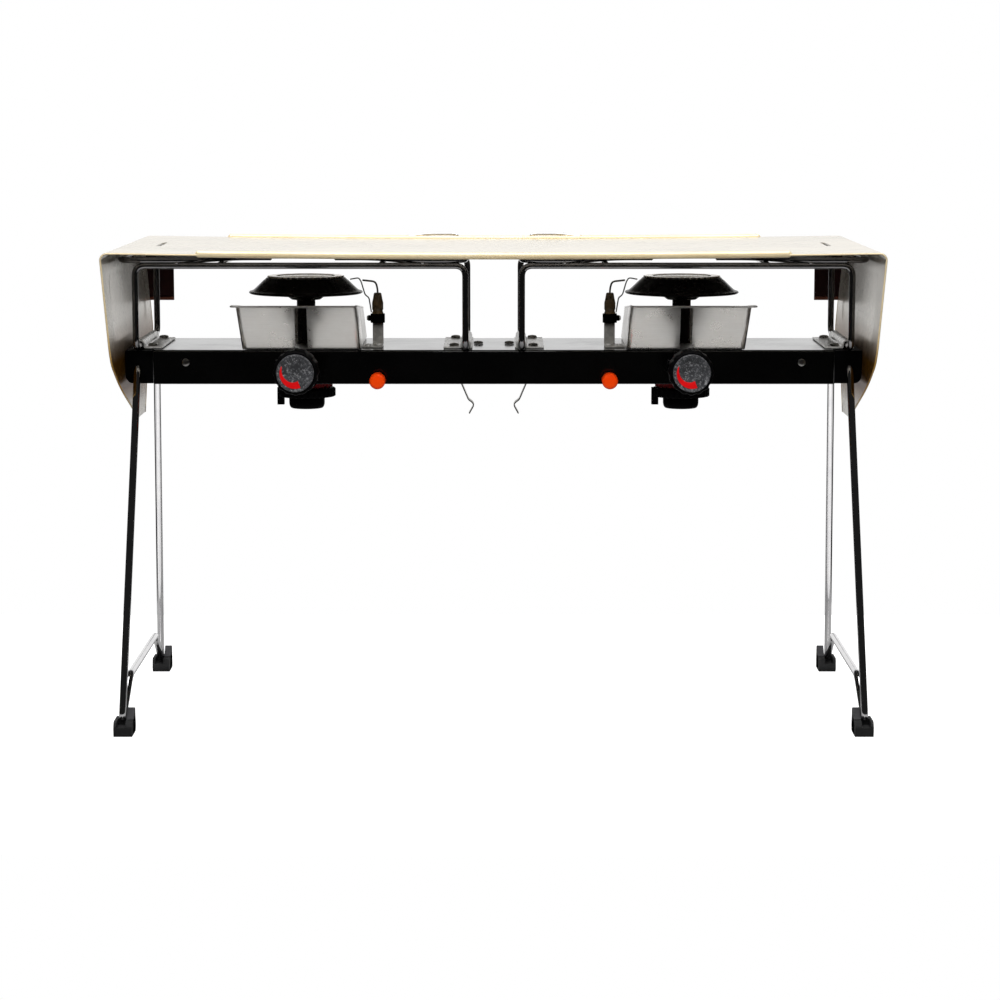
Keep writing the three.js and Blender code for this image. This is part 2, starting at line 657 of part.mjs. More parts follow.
function cover() {
  const { halfDepth, sheet, cornerX, top } = COVER;
  const folded = extrudeY(polygon(thickened(coverLine(), sheet)), -halfDepth, halfDepth);
  const wings = extrudeX(wingOutline(), -cornerX - OVERSHOOT, cornerX + OVERSHOOT);
  const trimmed = overlapOf(folded, wings);
  const beadY = halfDepth - BEAD.radius;
  const beads = [-beadY, beadY].map(coverBead);
  const shell = join(trimmed, ...beads, returnTab(-1), returnTab(1), coverEmboss());
  const handRadius = (HAND_SLOT.back - HAND_SLOT.front) / 2 - 0.1;
  const handSlot = roundedRectangle(
    -HAND_SLOT.halfWidth, HAND_SLOT.halfWidth, HAND_SLOT.front, HAND_SLOT.back, handRadius);
  const sideSlots = [-1, 1].map((side) => {
    const { x, halfWidth, halfDepth: reach } = SIDE_SLOT;
    return roundedRectangle(side * x - halfWidth, side * x + halfWidth, -reach, reach, halfWidth - 0.1);
  });
  const [cutFrom, cutTo] = [top - 2 * OVERSHOOT, top + 2 * OVERSHOOT];
  const cutters = [handSlot, ...sideSlots].map((shape) => extrudeZ(shape, cutFrom, cutTo));
  return cut(shell, ...cutters);
}

// A wire bail on the cover's back edge.
function coverHook() {
  const { radius, y, low, high, rise, from, to, end } = HOOK;
  return wire(bentPath([[rise, y, low], [from, y, high], [to, y, high], [end, y, low + 1.4]], 4), radius);
}

// ---------------------------------------------------------------- materials and assembly

function material(color, roughness, metalness) {
  return new THREE.MeshStandardMaterial({ color, roughness, metalness });
}

const FINISH = {
  coverMetal: material(0xe6d9bd, 0.28, 0.7),
  blackEnamel: material(0x050505, 0.18, 0.2),
  chrome: material(0xe0dfdf, 0.08, 1),
  zincScrew: material(0xb9b7b2, 0.3, 1),
  springSteel: material(0x7b7c7f, 0.35, 1),
  stainless: material(0xc7c3be, 0.32, 1),
  burnerBlack: material(0x15110f, 0.5, 0.4),
  burnerSteel: material(0xd0ccc4, 0.3, 1),
  blackPlastic: material(0x0a0a0b, 0.4, 0),
  dialPlastic: material(0x505154, 0.55, 0),
  redPlastic: material(0x7c0610, 0.35, 0),
  orangePlastic: material(0xff4507, 0.35, 0),
  rubber: material(0x16161a, 0.7, 0),
  ceramic: material(0x6a543a, 0.45, 0),
  galvanised: material(0x9f9c94, 0.4, 0.9),
};

const stove = new THREE.Group();

function add(name, geometry, finish) {
  const mesh = new THREE.Mesh(geometryOf(solidOf(geometry)), finish);
  mesh.name = name;
  stove.add(mesh);
}

// Adds the right-hand piece and its mirror image.
function addPair(name, geometry, finish, ending = '') {
  add(`${name}_right${ending}`, geometry, finish);
  add(`${name}_left${ending}`, mirrored(geometry), finish);
}

// Adds the same piece, not mirrored, at each burner.
function addTwin(name, geometry, finish) {
  add(`${name}_right`, geometry, finish);
  add(`${name}_left`, geometry.clone().translate(-2 * BURNER_X, 0, 0), finish);
}

function addGrateClamps() {
  const seat = BEAM.top + GAP + CLAMP.thickness + GAP;
  const ends = [
    { name: 'outer', x: GRATE.outerX, toward: -1 },
    { name: 'inner', x: GRATE.innerX, toward: 1 },
  ];
  for (const { name, x, toward } of ends) {
    addPair('grate_clamp', grateClamp(x, toward), FINISH.zincScrew, `_${name}`);
    const screwX = x + toward * CLAMP.screwReach;
    addPair('clamp_screw', topScrew(screwX, -CLAMP.screwY, seat), FINISH.zincScrew, `_${name}_front`);
    addPair('clamp_screw', topScrew(screwX, CLAMP.screwY, seat), FINISH.zincScrew, `_${name}_back`);
  }
}

add('beam', beam(), FINISH.blackEnamel);
addPair('end_cap', endCap(), FINISH.blackPlastic);
addPair('leg_frame', legFrame(), FINISH.chrome);
addPair('foot', foot(-1), FINISH.rubber, '_front');
addPair('foot', foot(1), FINISH.rubber, '_back');
addPair('grate', grate(), FINISH.chrome);
addGrateClamps();
addPair('clip_screw', topScrew(CLIP_SCREW_X, 0, BEAM.top + GAP), FINISH.zincScrew);
addPair('case_screw', caseScrew(), FINISH.zincScrew);
addPair('spring_clip', springClip(), FINISH.springSteel);
addPair('drip_pan', dripPan(), FINISH.stainless);
addPair('burner_tube', burnerTube(), FINISH.burnerBlack);
addPair('burner_head', burnerHead(), FINISH.burnerBlack);
addPair('burner_ring', burnerRing(), FINISH.burnerSteel);
addPair('valve_body', valveBody(), FINISH.blackEnamel);
addPair('lock_ring', lockRing(), FINISH.redPlastic);
addTwin('canister_collar', canisterCollar(), FINISH.blackPlastic);
addPair('knob', knob(), FINISH.blackPlastic);
addPair('knob_dial', knobDial(), FINISH.dialPlastic);
addPair('piezo_case', piezoCase(), FINISH.blackPlastic);
addPair('igniter_button', igniterButton(), FINISH.orangePlastic);
addPair('igniter_bracket', igniterBracket(), FINISH.galvanised);
addPair('igniter_insulator', igniterInsulator(), FINISH.ceramic);
addPair('igniter_electrode', igniterElectrode(), FINISH.springSteel);
add('cover', cover(), FINISH.coverMetal);
addPair('cover_hook', coverHook(), FINISH.chrome);

export default stove;
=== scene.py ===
import math
import random

import bmesh
import bpy
from mathutils import Matrix, Quaternion, Vector


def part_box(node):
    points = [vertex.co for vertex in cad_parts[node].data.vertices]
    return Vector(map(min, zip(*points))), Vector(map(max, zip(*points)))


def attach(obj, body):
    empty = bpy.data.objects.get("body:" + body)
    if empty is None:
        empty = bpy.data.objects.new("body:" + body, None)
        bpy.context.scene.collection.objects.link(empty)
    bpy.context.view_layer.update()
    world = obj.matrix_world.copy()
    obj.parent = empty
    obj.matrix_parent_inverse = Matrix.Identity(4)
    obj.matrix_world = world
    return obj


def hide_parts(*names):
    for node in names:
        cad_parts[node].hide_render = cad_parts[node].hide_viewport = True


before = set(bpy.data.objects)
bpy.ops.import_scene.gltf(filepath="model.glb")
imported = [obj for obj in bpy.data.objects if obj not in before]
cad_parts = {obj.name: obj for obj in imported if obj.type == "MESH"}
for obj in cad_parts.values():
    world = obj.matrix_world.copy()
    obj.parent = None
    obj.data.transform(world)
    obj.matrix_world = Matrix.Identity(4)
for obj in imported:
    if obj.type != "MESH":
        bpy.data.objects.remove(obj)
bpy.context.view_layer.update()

# Camp stove: looks for each part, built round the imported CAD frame.
# Lengths are in millimetres until a mesh is made, where they become metres.
# Pieces that come in pairs are built for the right-hand side (X > 0) and mirrored for the left.

MM = 0.001
SIDES = (("right", 1), ("left", -1))
QUARTER = math.pi / 2

random.seed(7)

# ---------------------------------------------------------------- places, read from the CAD frame


class Box:
    """A CAD node's box at rest, in millimetres."""

    def __init__(self, node):
        low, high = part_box(node)
        self.x0, self.y0, self.z0 = low / MM
        self.x1, self.y1, self.z1 = high / MM
        self.x, self.y, self.z = (low + high) / 2 / MM


BEAM = Box("beam")
CAP = Box("end_cap_right")
LEG = Box("leg_frame_right")
FOOT = Box("foot_right_front")
GRATE = Box("grate_right")
PAN = Box("drip_pan_right")
TUBE = Box("burner_tube_right")
HEAD = Box("burner_head_right")
RING = Box("burner_ring_right")
VALVE = Box("valve_body_right")
LOCK = Box("lock_ring_right")
COLLAR = Box("canister_collar_right")
KNOB = Box("knob_right")
DIAL = Box("knob_dial_right")
BUTTON = Box("igniter_button_right")
PIEZO = Box("piezo_case_right")
BRACKET = Box("igniter_bracket_right")
INSULATOR = Box("igniter_insulator_right")
CLIP = Box("spring_clip_right")
COVER = Box("cover")
OUTER_CLAMP = Box("grate_clamp_right_outer")
INNER_CLAMP = Box("grate_clamp_right_inner")

BURNER_X = TUBE.x
DIAL_Z = DIAL.z
PIEZO_Z = PIEZO.z

# Wire radii and the bent lines that the CAD's boxes can't give.
LEG_RADIUS = 3
HINGE = Vector((292, 65.5, 292))
FOOT_BEND = Vector((301, 132, 10.5))
BAR_BEND = Vector((300.057, 87, 40))
GRATE_RADIUS = 2.6
GRATE_OUTER, GRATE_INNER, GRATE_Y = 292, 23, 73
RAIL_Z, BASE_Z, PRONG_Z = 376, 309.2, 380.5
SHEET = 1.2
COVER_TOP = 390
SAG, SAG_REACH = 2.5, 300

# ---------------------------------------------------------------- shapes


class Shape:
    """Points and faces that are still being put together."""

    def __init__(self, points, faces):
        self.points = [Vector(point) for point in points]
        self.faces = [tuple(face) for face in faces]

    def __add__(self, other):
        start = len(self.points)
        shifted = [tuple(index + start for index in face) for face in other.faces]
        return Shape(self.points + other.points, self.faces + shifted)

    def placed(self, matrix):
        return Shape([matrix @ point for point in self.points], self.faces)

    def moved(self, x, y, z):
        return self.placed(Matrix.Translation((x, y, z)))

    def mirrored(self):
        points = [(-point.x, point.y, point.z) for point in self.points]
        return Shape(points, [face[::-1] for face in self.faces])


def facing(direction):
    """Turns a shape made along +Z to point along a direction."""
    return Vector((0, 0, 1)).rotation_difference(Vector(direction)).to_matrix().to_4x4()


def bezier(start, corner, end, steps):
    points = []
    for step in range(steps + 1):
        t = step / steps
        points.append(start * (1 - t) ** 2 + corner * 2 * t * (1 - t) + end * t ** 2)
    return points


def bent(corners, bend, steps=8, closed=False):
    """Rounds the corners of a line, in two or three dimensions."""
    points = [Vector(corner) for corner in corners]
    count = len(points)
    path = []
    for index, corner in enumerate(points):
        if not closed and index in (0, count - 1):
            path.append(corner)
            continue
        ends = []
        for other in (points[index - 1], points[(index + 1) % count]):
            away = other - corner
            ends.append(corner + away.normalized() * min(bend, away.length * 0.45))
        path += bezier(ends[0], corner, ends[1], steps)
    return path


def ring_of(centre, across, up, radius, sides):
    turns = [2 * math.pi * index / sides for index in range(sides)]
    return [centre + (across * math.cos(turn) + up * math.sin(turn)) * radius for turn in turns]


def loft(loops, closed=False, capped=True):
    """Joins loops of equally many points, one after the other."""
    sides = len(loops[0])
    points = [point for loop in loops for point in loop]
    faces = []
    last = len(loops) if closed else len(loops) - 1
    for row in range(last):
        here, there = row * sides, (row + 1) % len(loops) * sides
        for index in range(sides):
            after = (index + 1) % sides
            faces.append((here + index, here + after, there + after, there + index))
    if capped and not closed:
        faces.append(tuple(range(sides))[::-1])
        faces.append(tuple(range((len(loops) - 1) * sides, len(loops) * sides)))
    return Shape(points, faces)


def tube(path, radius, sides=20, closed=False, soft_end=0.3):
    """A round wire along a line, with its open ends slightly rounded."""
    points = [Vector(point) for point in path]
    radii = [radius] * len(points)
    if not closed:
        reach = radius * soft_end
        first = (points[1] - points[0]).normalized() * reach
        last = (points[-2] - points[-1]).normalized() * reach
        points = [points[0], points[0] + first] + points[1:-1] + [points[-1] + last, points[-1]]
        radii = [radius - reach, radius] + radii[1:-1] + [radius, radius - reach]
    count = len(points)
    tangents = []
    for index in range(count):
        before = points[index - 1] if closed or index else points[0]
        after = points[(index + 1) % count] if closed or index < count - 1 else points[-1]
        tangents.append((after - before).normalized())
    ups = [tangents[0].orthogonal().normalized()]
    for before, after in zip(tangents, tangents[1:]):
        ups.append(before.rotation_difference(after) @ ups[-1])
    twist = 0
    if closed:
        end = tangents[-1].rotation_difference(tangents[0]) @ ups[-1]
        twist = math.atan2(end.cross(ups[0]).dot(tangents[0]), end.dot(ups[0]))
    loops = []
    for index, (point, tangent, up) in enumerate(zip(points, tangents, ups)):
        up = Quaternion(tangent, twist * index / count) @ up
        loops.append(ring_of(point, up, tangent.cross(up), radii[index], sides))
    return loft(loops, closed)


def turned(profile, sides=64, lobes=0, lobe_height=0.0):
    """Turns [radius, height] points about Z. A third number is how much of the lobes a point takes."""
    points, starts = [], []
    for radius, height, *share in profile:
        starts.append(len(points))
        if radius == 0:
            points.append((0, 0, height))
            continue
        for index in range(sides):
            turn = 2 * math.pi * index / sides
            reach = radius + (share[0] * lobe_height * math.cos(lobes * turn) if share else 0)
            points.append((reach * math.cos(turn), reach * math.sin(turn), height))
    faces = []
    order = list(range(len(profile)))
    pairs = list(zip(order, order[1:]))
    if profile[0][0] and profile[-1][0]:
        pairs.append((order[-1], order[0]))
    for low, high in pairs:
        for index in range(sides):
            after = (index + 1) % sides
            if profile[low][0] == 0:
                faces.append((starts[low], starts[high] + after, starts[high] + index))
            elif profile[high][0] == 0:
                faces.append((starts[low] + index, starts[low] + after, starts[high]))
            else:
                faces.append((starts[low] + index, starts[low] + after,
                              starts[high] + after, starts[high] + index))
    return Shape(points, faces)


def prism(outline, low, high, axis):
    """An outline carried along an axis. The outline's two numbers are the other two axes, in order."""
    place = {
        "x": lambda u, v, w: (w, u, v),
        "y": lambda u, v, w: (u, w, v),
        "z": lambda u, v, w: (u, v, w),
    }[axis]
    return loft([[Vector(place(u, v, w)) for u, v in outline] for w in (low, high)])


def rounded(outline, radius, steps=5):
    return [tuple(point) for point in bent(outline, radius, steps, closed=True)]


def rectangle(u0, u1, v0, v1, radius=0.0, steps=6):
    corners = [(u0, v0), (u1, v0), (u1, v1), (u0, v1)]
    if not radius:
        return corners
    points = []
    centres = [(u0 + radius, v0 + radius, 2), (u1 - radius, v0 + radius, 3),
               (u1 - radius, v1 - radius, 0), (u0 + radius, v1 - radius, 1)]
    for u, v, quarter in centres:
        for step in range(steps + 1):
            turn = (quarter + step / steps) * QUARTER
            points.append((u + radius * math.cos(turn), v + radius * math.sin(turn)))
    return points


def block(x0, x1, y0, y1, z0, z1):
    return prism(rectangle(x0, x1, y0, y1), z0, z1, "z")


def strip(line, thickness):
    """Closes an open line into a strip, by adding the same line moved to its right."""
    points = [Vector(point) for point in line]
    moved = []
    for index, point in enumerate(points):
        before = points[max(index - 1, 0)]
        after = points[min(index + 1, len(points) - 1)]
        along = (after - before).normalized()
        moved.append((point.x + along.y * thickness, point.y - along.x * thickness))
    return [tuple(point) for point in points] + moved[::-1]


def plain_object(shape):
    mesh = bpy.data.meshes.new("tool")
    mesh.from_pydata(shape.points, [], shape.faces)
    made = bmesh.new()
    made.from_mesh(mesh)
    bmesh.ops.recalc_face_normals(made, faces=made.faces)
    made.to_mesh(mesh)
    made.free()
    tool = bpy.data.objects.new("tool", mesh)
    bpy.context.scene.collection.objects.link(tool)
    return tool


def subtract(shape, *tools):
    """Cuts other shapes out of a shape."""
    objects = [plain_object(shape)] + [plain_object(tool) for tool in tools]
    for tool in objects[1:]:
        cut = objects[0].modifiers.new("cut", "BOOLEAN")
        cut.object = tool
        cut.operation = "DIFFERENCE"
        cut.solver = "EXACT"
    bpy.context.view_layer.update()
    whole = objects[0].evaluated_get(bpy.context.evaluated_depsgraph_get())
    mesh = whole.to_mesh()
    mesh.calc_loop_triangles()
    result = Shape([vertex.co.copy() for vertex in mesh.vertices],
                   [tuple(triangle.vertices) for triangle in mesh.loop_triangles])
    whole.to_mesh_clear()
    for used in objects:
        data = used.data
        bpy.data.objects.remove(used)
        bpy.data.meshes.remove(data)
    return result


# ---------------------------------------------------------------- pieces


def add(name, shape, body, slot, finish, replaces=(), bevel=0.0, segments=2, smooth=35):
    """Makes a piece from a shape, with its edges eased, riding on a body."""
    mesh = bpy.data.meshes.new(name)
    mesh.from_pydata([point * MM for point in shape.points], [], shape.faces)
    made = bmesh.new()
    made.from_mesh(mesh)
    bmesh.ops.recalc_face_normals(made, faces=made.faces)
    made.to_mesh(mesh)
    made.free()
    mesh.shade_smooth()
    mesh.set_sharp_from_angle(angle=math.radians(smooth))
    mesh.materials.append(finish)
    piece = bpy.data.objects.new(name, mesh)
    bpy.context.scene.collection.objects.link(piece)
    if bevel:
        ease = piece.modifiers.new("ease", "BEVEL")
        ease.width = bevel * MM
        ease.segments = segments
        ease.limit_method = "ANGLE"
        ease.angle_limit = math.radians(30)
        ease.use_clamp_overlap = True
        even = piece.modifiers.new("even", "WEIGHTED_NORMAL")
        even.keep_sharp = True
    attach(piece, body)
    if replaces:
        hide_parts(*replaces)
    return piece


def add_pair(base, shape, body, slot, finish, replaces=None, ending="", **options):
    """Adds the right-hand piece and its mirror image. A body or node may hold {} for the side."""
    made = []
    for word, sign in SIDES:
        placed = shape if sign > 0 else shape.mirrored()
        nodes = [node.format(word) for node in replaces or ()]
        made.append(add(f"{base}_{word}{ending}", placed, body.format(word), slot, finish, nodes, **options))
    return made


def add_twin(base, shape, body, slot, finish, replaces=None, **options):
    """Adds the same piece, not mirrored, at each burner. The shape is made round X = 0."""
    for word, sign in SIDES:
        nodes = [node.format(word) for node in replaces or ()]
        placed = shape.moved(sign * BURNER_X, 0, 0)
        add(f"{base}_{word}", placed, body.format(word), slot, finish, nodes, **options)


# ---------------------------------------------------------------- finishes


class Finish:
    """A Principled material whose colour, roughness and relief come from patterns in the object's space."""

    def __init__(self, name, **constants):
        self.material = bpy.data.materials.new(name)
        self.material.use_nodes = True
        self.tree = self.material.node_tree
        self.shader = self.tree.nodes["Principled BSDF"]
        self.place = self.node("ShaderNodeTexCoord").outputs["Object"]
        self.normal = None
        for socket, value in constants.items():
            self.shader.inputs[socket.replace("_", " ")].default_value = value

    def node(self, kind, **settings):
        made = self.tree.nodes.new(kind)
        for key, value in settings.items():
            setattr(made, key, value)
        return made

    def link(self, source, target):
        self.tree.links.new(source, target)

    def stretched(self, stretch, turn=(0, 0, 0)):
        mapping = self.node("ShaderNodeMapping")
        mapping.inputs["Scale"].default_value = stretch
        mapping.inputs["Rotation"].default_value = turn
        self.link(self.place, mapping.inputs["Vector"])
        return mapping.outputs["Vector"]

    def noise(self, size, detail=3.0, roughness=0.55, stretch=(1, 1, 1), distortion=0.0):
        """Cloudy pattern whose blotches are about size millimetres across."""
        made = self.node("ShaderNodeTexNoise")
        made.inputs["Scale"].default_value = 1 / (size * MM)
        made.inputs["Detail"].default_value = detail
        made.inputs["Roughness"].default_value = roughness
        made.inputs["Distortion"].default_value = distortion
        self.link(self.stretched(stretch), made.inputs["Vector"])
        return made.outputs["Fac"]

    def cells(self, size, feature="F1", output="Distance"):
        """Pattern of cells about size millimetres across."""
        made = self.node("ShaderNodeTexVoronoi", feature=feature)
        made.inputs["Scale"].default_value = 1 / (size * MM)
        self.link(self.place, made.inputs["Vector"])
        return made.outputs[output]

    def ranged(self, source, low, high, start=0.3, end=0.7):
        made = self.node("ShaderNodeMapRange")
        made.inputs["From Min"].default_value = start
        made.inputs["From Max"].default_value = end
        made.inputs["To Min"].default_value = low
        made.inputs["To Max"].default_value = high
        self.link(source, made.inputs["Value"])
        return made.outputs["Result"]

    def mixed(self, share, low, high):
        """A colour that goes from low to high as share goes from 0 to 1. Each is a colour or a socket."""
        made = self.node("ShaderNodeMix", data_type="RGBA")
        self.link(share, made.inputs["Factor"])
        for value, name in ((low, "A"), (high, "B")):
            target = [s for s in made.inputs if s.name == name and s.type == "RGBA"][0]
            if isinstance(value, bpy.types.NodeSocket):
                self.link(value, target)
            else:
                target.default_value = (*value, 1)
        return [s for s in made.outputs if s.type == "RGBA"][0]

    def times(self, first, second, operation="MULTIPLY"):
        made = self.node("ShaderNodeMath", operation=operation)
        for value, target in ((first, made.inputs[0]), (second, made.inputs[1])):
            if isinstance(value, bpy.types.NodeSocket):
                self.link(value, target)
            else:
                target.default_value = value
        return made.outputs[0]

    def height(self, axis):
        """One coordinate of the place, in metres."""
        split = self.node("ShaderNodeSeparateXYZ")
        self.link(self.place, split.inputs["Vector"])
        return split.outputs[axis]

    def inward(self):
        """1 where the surface faces the middle plane, X = 0, and 0 where it faces away."""
        split = self.node("ShaderNodeSeparateXYZ")
        self.link(self.node("ShaderNodeTexCoord").outputs["Normal"], split.inputs["Vector"])
        return self.times(self.times(split.outputs["X"], self.height("X")), 0, "LESS_THAN")

    def colour(self, source):
        self.link(source, self.shader.inputs["Base Color"])

    def rough(self, source):
        self.link(source, self.shader.inputs["Roughness"])

    def relief(self, source, depth, strength=1.0):
        """Adds bumps that are about depth millimetres deep."""
        bump = self.node("ShaderNodeBump")
        bump.inputs["Distance"].default_value = depth * MM
        bump.inputs["Strength"].default_value = strength
        self.link(source, bump.inputs["Height"])
        if self.normal:
            self.link(self.normal, bump.inputs["Normal"])
        self.normal = bump.outputs["Normal"]
        self.link(self.normal, self.shader.inputs["Normal"])


def srgb(red, green, blue):
    """A colour from 0 to 255 values, in linear light."""
    values = [value / 255 for value in (red, green, blue)]
    return tuple(v / 12.92 if v <= 0.04045 else ((v + 0.055) / 1.055) ** 2.4 for v in values)


def cover_metal(name, metallic, dark, light, painted_reflection_tint, inside_only):
    """Champagne coat on sheet metal: fine lengthwise grain, faint clouds and a few hairline scratches, plus a painted
    reflection: a brown band low on the wings that stands in for the dark beam end mirrored in the sheet.
    """
    made = Finish(name, Metallic=metallic)
    grain = made.noise(0.5, 2, stretch=(0.03, 1, 1))
    clouds = made.noise(70, 4)
    scratches = made.noise(1.2, 2, stretch=(0.012, 1, 0.4), distortion=0.4)
    base = made.mixed(made.ranged(clouds, 0, 1), dark, light)
    marked = made.mixed(made.ranged(scratches, 0, 0.3, 0.66, 0.8), base, srgb(190, 176, 146))
    # Painted reflection: between about 0.256 and 0.33 m up, the band mask low brings in the brown of the mirrored beam
    # end.
    above = made.ranged(made.height("Z"), 1, 0, 0.3, 0.33)
    low = made.times(above, made.ranged(made.height("Z"), 0, 1, 0.256, 0.276))
    # inside_only keeps the painted reflection to faces that look toward the middle, where the beam end is mirrored.
    if inside_only:
        low = made.times(low, made.inward())
    # Colour and specular tint both take the painted reflection inside the band.
    made.colour(made.mixed(low, marked, painted_reflection_tint))
    made.link(made.mixed(low, (1, 1, 1), painted_reflection_tint), made.shader.inputs["Specular Tint"])
    made.rough(made.ranged(made.times(grain, clouds), 0.26, 0.32, 0.15, 0.4))
    made.relief(grain, 0.012)
    made.relief(made.noise(180, 1), 0.12)
    return made.material


def black_enamel():
    """Black powder paint with a fine orange peel and specks of dust."""
    made = Finish("black_enamel", Specular_IOR_Level=0.6)
    clouds = made.noise(35, 3)
    specks = made.cells(2.2)
    base = made.mixed(made.ranged(clouds, 0, 1), (0.0004, 0.0004, 0.0004), (0.0012, 0.0012, 0.0012))
    dusty = made.mixed(made.ranged(specks, 0.25, 0, 0.02, 0.06), base, (0.012, 0.012, 0.012))
    made.colour(dusty)
    made.rough(made.ranged(clouds, 0.1, 0.17))
    made.relief(made.noise(1.4, 2), 0.006)
    return made.material


def chrome_wire(name, dark, light):
    """Bright plating over drawn wire, with soft waviness and tiny pits."""
    made = Finish(name, Metallic=1.0)
    clouds = made.noise(14, 3)
    pits = made.cells(1.6)
    base = made.mixed(made.ranged(clouds, 0, 1), dark, light)
    made.colour(made.mixed(made.ranged(pits, 0.6, 0, 0.01, 0.05), base, srgb(110, 104, 98)))
    made.rough(made.ranged(clouds, 0.04, 0.11))
    made.relief(made.noise(6, 2), 0.02)
    return made.material


def zinc_hardware(name, metallic, dark, light):
    """Bright zinc with spangled patches."""
    made = Finish(name, Metallic=metallic)
    spangle = made.cells(3.5, output="Color")
    clouds = made.noise(5, 4)
    base = made.mixed(made.ranged(clouds, 0, 1), dark, light)
    made.colour(made.mixed(made.ranged(spangle, 0, 0.4, 0.2, 0.9), base, dark))
    made.rough(made.ranged(clouds, 0.22, 0.4))
    made.relief(made.noise(0.8, 3), 0.01)
    return made.material


def spring_steel():
    """Tempered strip, drawn lengthwise, with a faint straw tint."""
    made = Finish("spring_steel", Metallic=1.0)
    grain = made.noise(0.4, 2, stretch=(1, 1, 0.05))
    clouds = made.noise(9, 3)
    made.colour(made.mixed(made.ranged(clouds, 0, 1), srgb(128, 126, 124), srgb(158, 150, 136)))
    made.rough(made.ranged(grain, 0.22, 0.4))
    made.relief(grain, 0.008)
    return made.material


def stainless():
    """Brushed stainless sheet with the faint smudges that handling leaves."""
    made = Finish("brushed_stainless", Metallic=0.9)
    grain = made.noise(0.35, 2, stretch=(0.02, 1, 1))
    smudges = made.noise(22, 5, 0.6)
    base = made.mixed(made.ranged(smudges, 0, 1), srgb(232, 228, 222), srgb(244, 242, 238))
    made.colour(made.mixed(made.ranged(grain, 0, 0.3, 0.35, 0.75), base, srgb(214, 210, 204)))
    made.rough(made.ranged(smudges, 0.24, 0.38))
    made.relief(grain, 0.01)
    made.relief(made.noise(60, 1), 0.35)
    return made.material


def burner_black():
    """Dark enamel over pressed steel, dulled and flecked brown by heat."""
    made = Finish("burner_black", Specular_IOR_Level=0.22)
    clouds = made.noise(16, 5, 0.65)
    fine = made.noise(1.1, 3)
    base = made.mixed(made.ranged(clouds, 0, 1), srgb(3, 3, 3), srgb(12, 9, 8))
    made.colour(made.mixed(made.ranged(fine, 0, 0.3, 0.5, 0.8), base, srgb(40, 30, 22)))
    made.rough(made.ranged(clouds, 0.2, 0.34))
    made.relief(fine, 0.02)
    return made.material


def burner_steel():
    """Turned steel of the flame ring, straw coloured in patches."""
    made = Finish("burner_steel", Metallic=1.0)
    clouds = made.noise(9, 4)
    made.colour(made.mixed(made.ranged(clouds, 0, 1), srgb(226, 222, 214), srgb(206, 188, 156)))
    made.rough(made.ranged(clouds, 0.1, 0.2))
    made.relief(made.noise(0.5, 2), 0.01)
    return made.material


def moulded(name, dark, light, rough=(0.35, 0.5), texture=0.02, grain=0.6, **constants):
    """Moulded plastic: a fine spark-eroded texture and slight clouding."""
    made = Finish(name, **constants)
    clouds = made.noise(12, 4)
    fine = made.noise(grain, 2)
    base = made.mixed(made.ranged(clouds, 0, 1), dark, light)
    made.colour(made.mixed(made.ranged(fine, 0, 0.25, 0.55, 0.8), base, [min(c * 1.8 + 0.001, 1) for c in light]))
    made.rough(made.ranged(clouds, *rough))
    made.relief(fine, texture)
    return made.material


def dial_face():
    """Grey dial with a speckled, slightly worn print."""
    made = Finish("dial_face")
    specks = made.noise(1.7, 4, 0.8)
    clouds = made.noise(7, 4)
    base = made.mixed(made.ranged(clouds, 0, 1), srgb(38, 39, 41), srgb(58, 59, 62))
    light = made.mixed(made.ranged(specks, 0, 0.9, 0.52, 0.64), base, srgb(140, 140, 142))
    made.colour(made.mixed(made.ranged(made.cells(1.1), 0.8, 0, 0.05, 0.3), light, srgb(34, 34, 37)))
    made.rough(made.ranged(clouds, 0.4, 0.62))
    made.relief(specks, 0.02)
    return made.material


def rubber(name, dark, light):
    """Dull rubber with dust in its pores."""
    made = Finish(name)
    dust = made.noise(1.3, 5, 0.75)
    clouds = made.noise(8, 4)
    base = made.mixed(made.ranged(clouds, 0, 1), dark, light)
    made.colour(made.mixed(made.ranged(dust, 0, 0.4, 0.6, 0.8), base, srgb(70, 69, 70)))
    made.rough(made.ranged(clouds, 0.6, 0.85))
    made.relief(dust, 0.05)
    return made.material


def ceramic():
    """Glazed brown ceramic with darker firing clouds."""
    made = Finish("glazed_ceramic", Coat_Weight=0.5, Coat_Roughness=0.1)
    clouds = made.noise(3.5, 5)
    base = made.mixed(made.ranged(clouds, 0, 1), srgb(62, 50, 32), srgb(104, 82, 54))
    made.colour(made.mixed(made.ranged(made.cells(0.9), 0.5, 0, 0.05, 0.25), base, srgb(44, 34, 22)))
    made.rough(made.ranged(clouds, 0.25, 0.45))
    made.relief(made.noise(0.8, 3), 0.02)
    return made.material


def galvanised():
    """Dull galvanised bracket sheet."""
    made = Finish("galvanised_sheet", Metallic=0.5)
    spangle = made.cells(2.6, output="Color")
    clouds = made.noise(4, 4)
    base = made.mixed(made.ranged(clouds, 0, 1), srgb(190, 187, 182), srgb(214, 211, 204))
    made.colour(made.mixed(made.ranged(spangle, 0, 0.5, 0.2, 0.9), base, srgb(168, 165, 160)))
    made.rough(made.ranged(clouds, 0.32, 0.5))
    made.relief(made.noise(0.7, 3), 0.015)
    return made.material
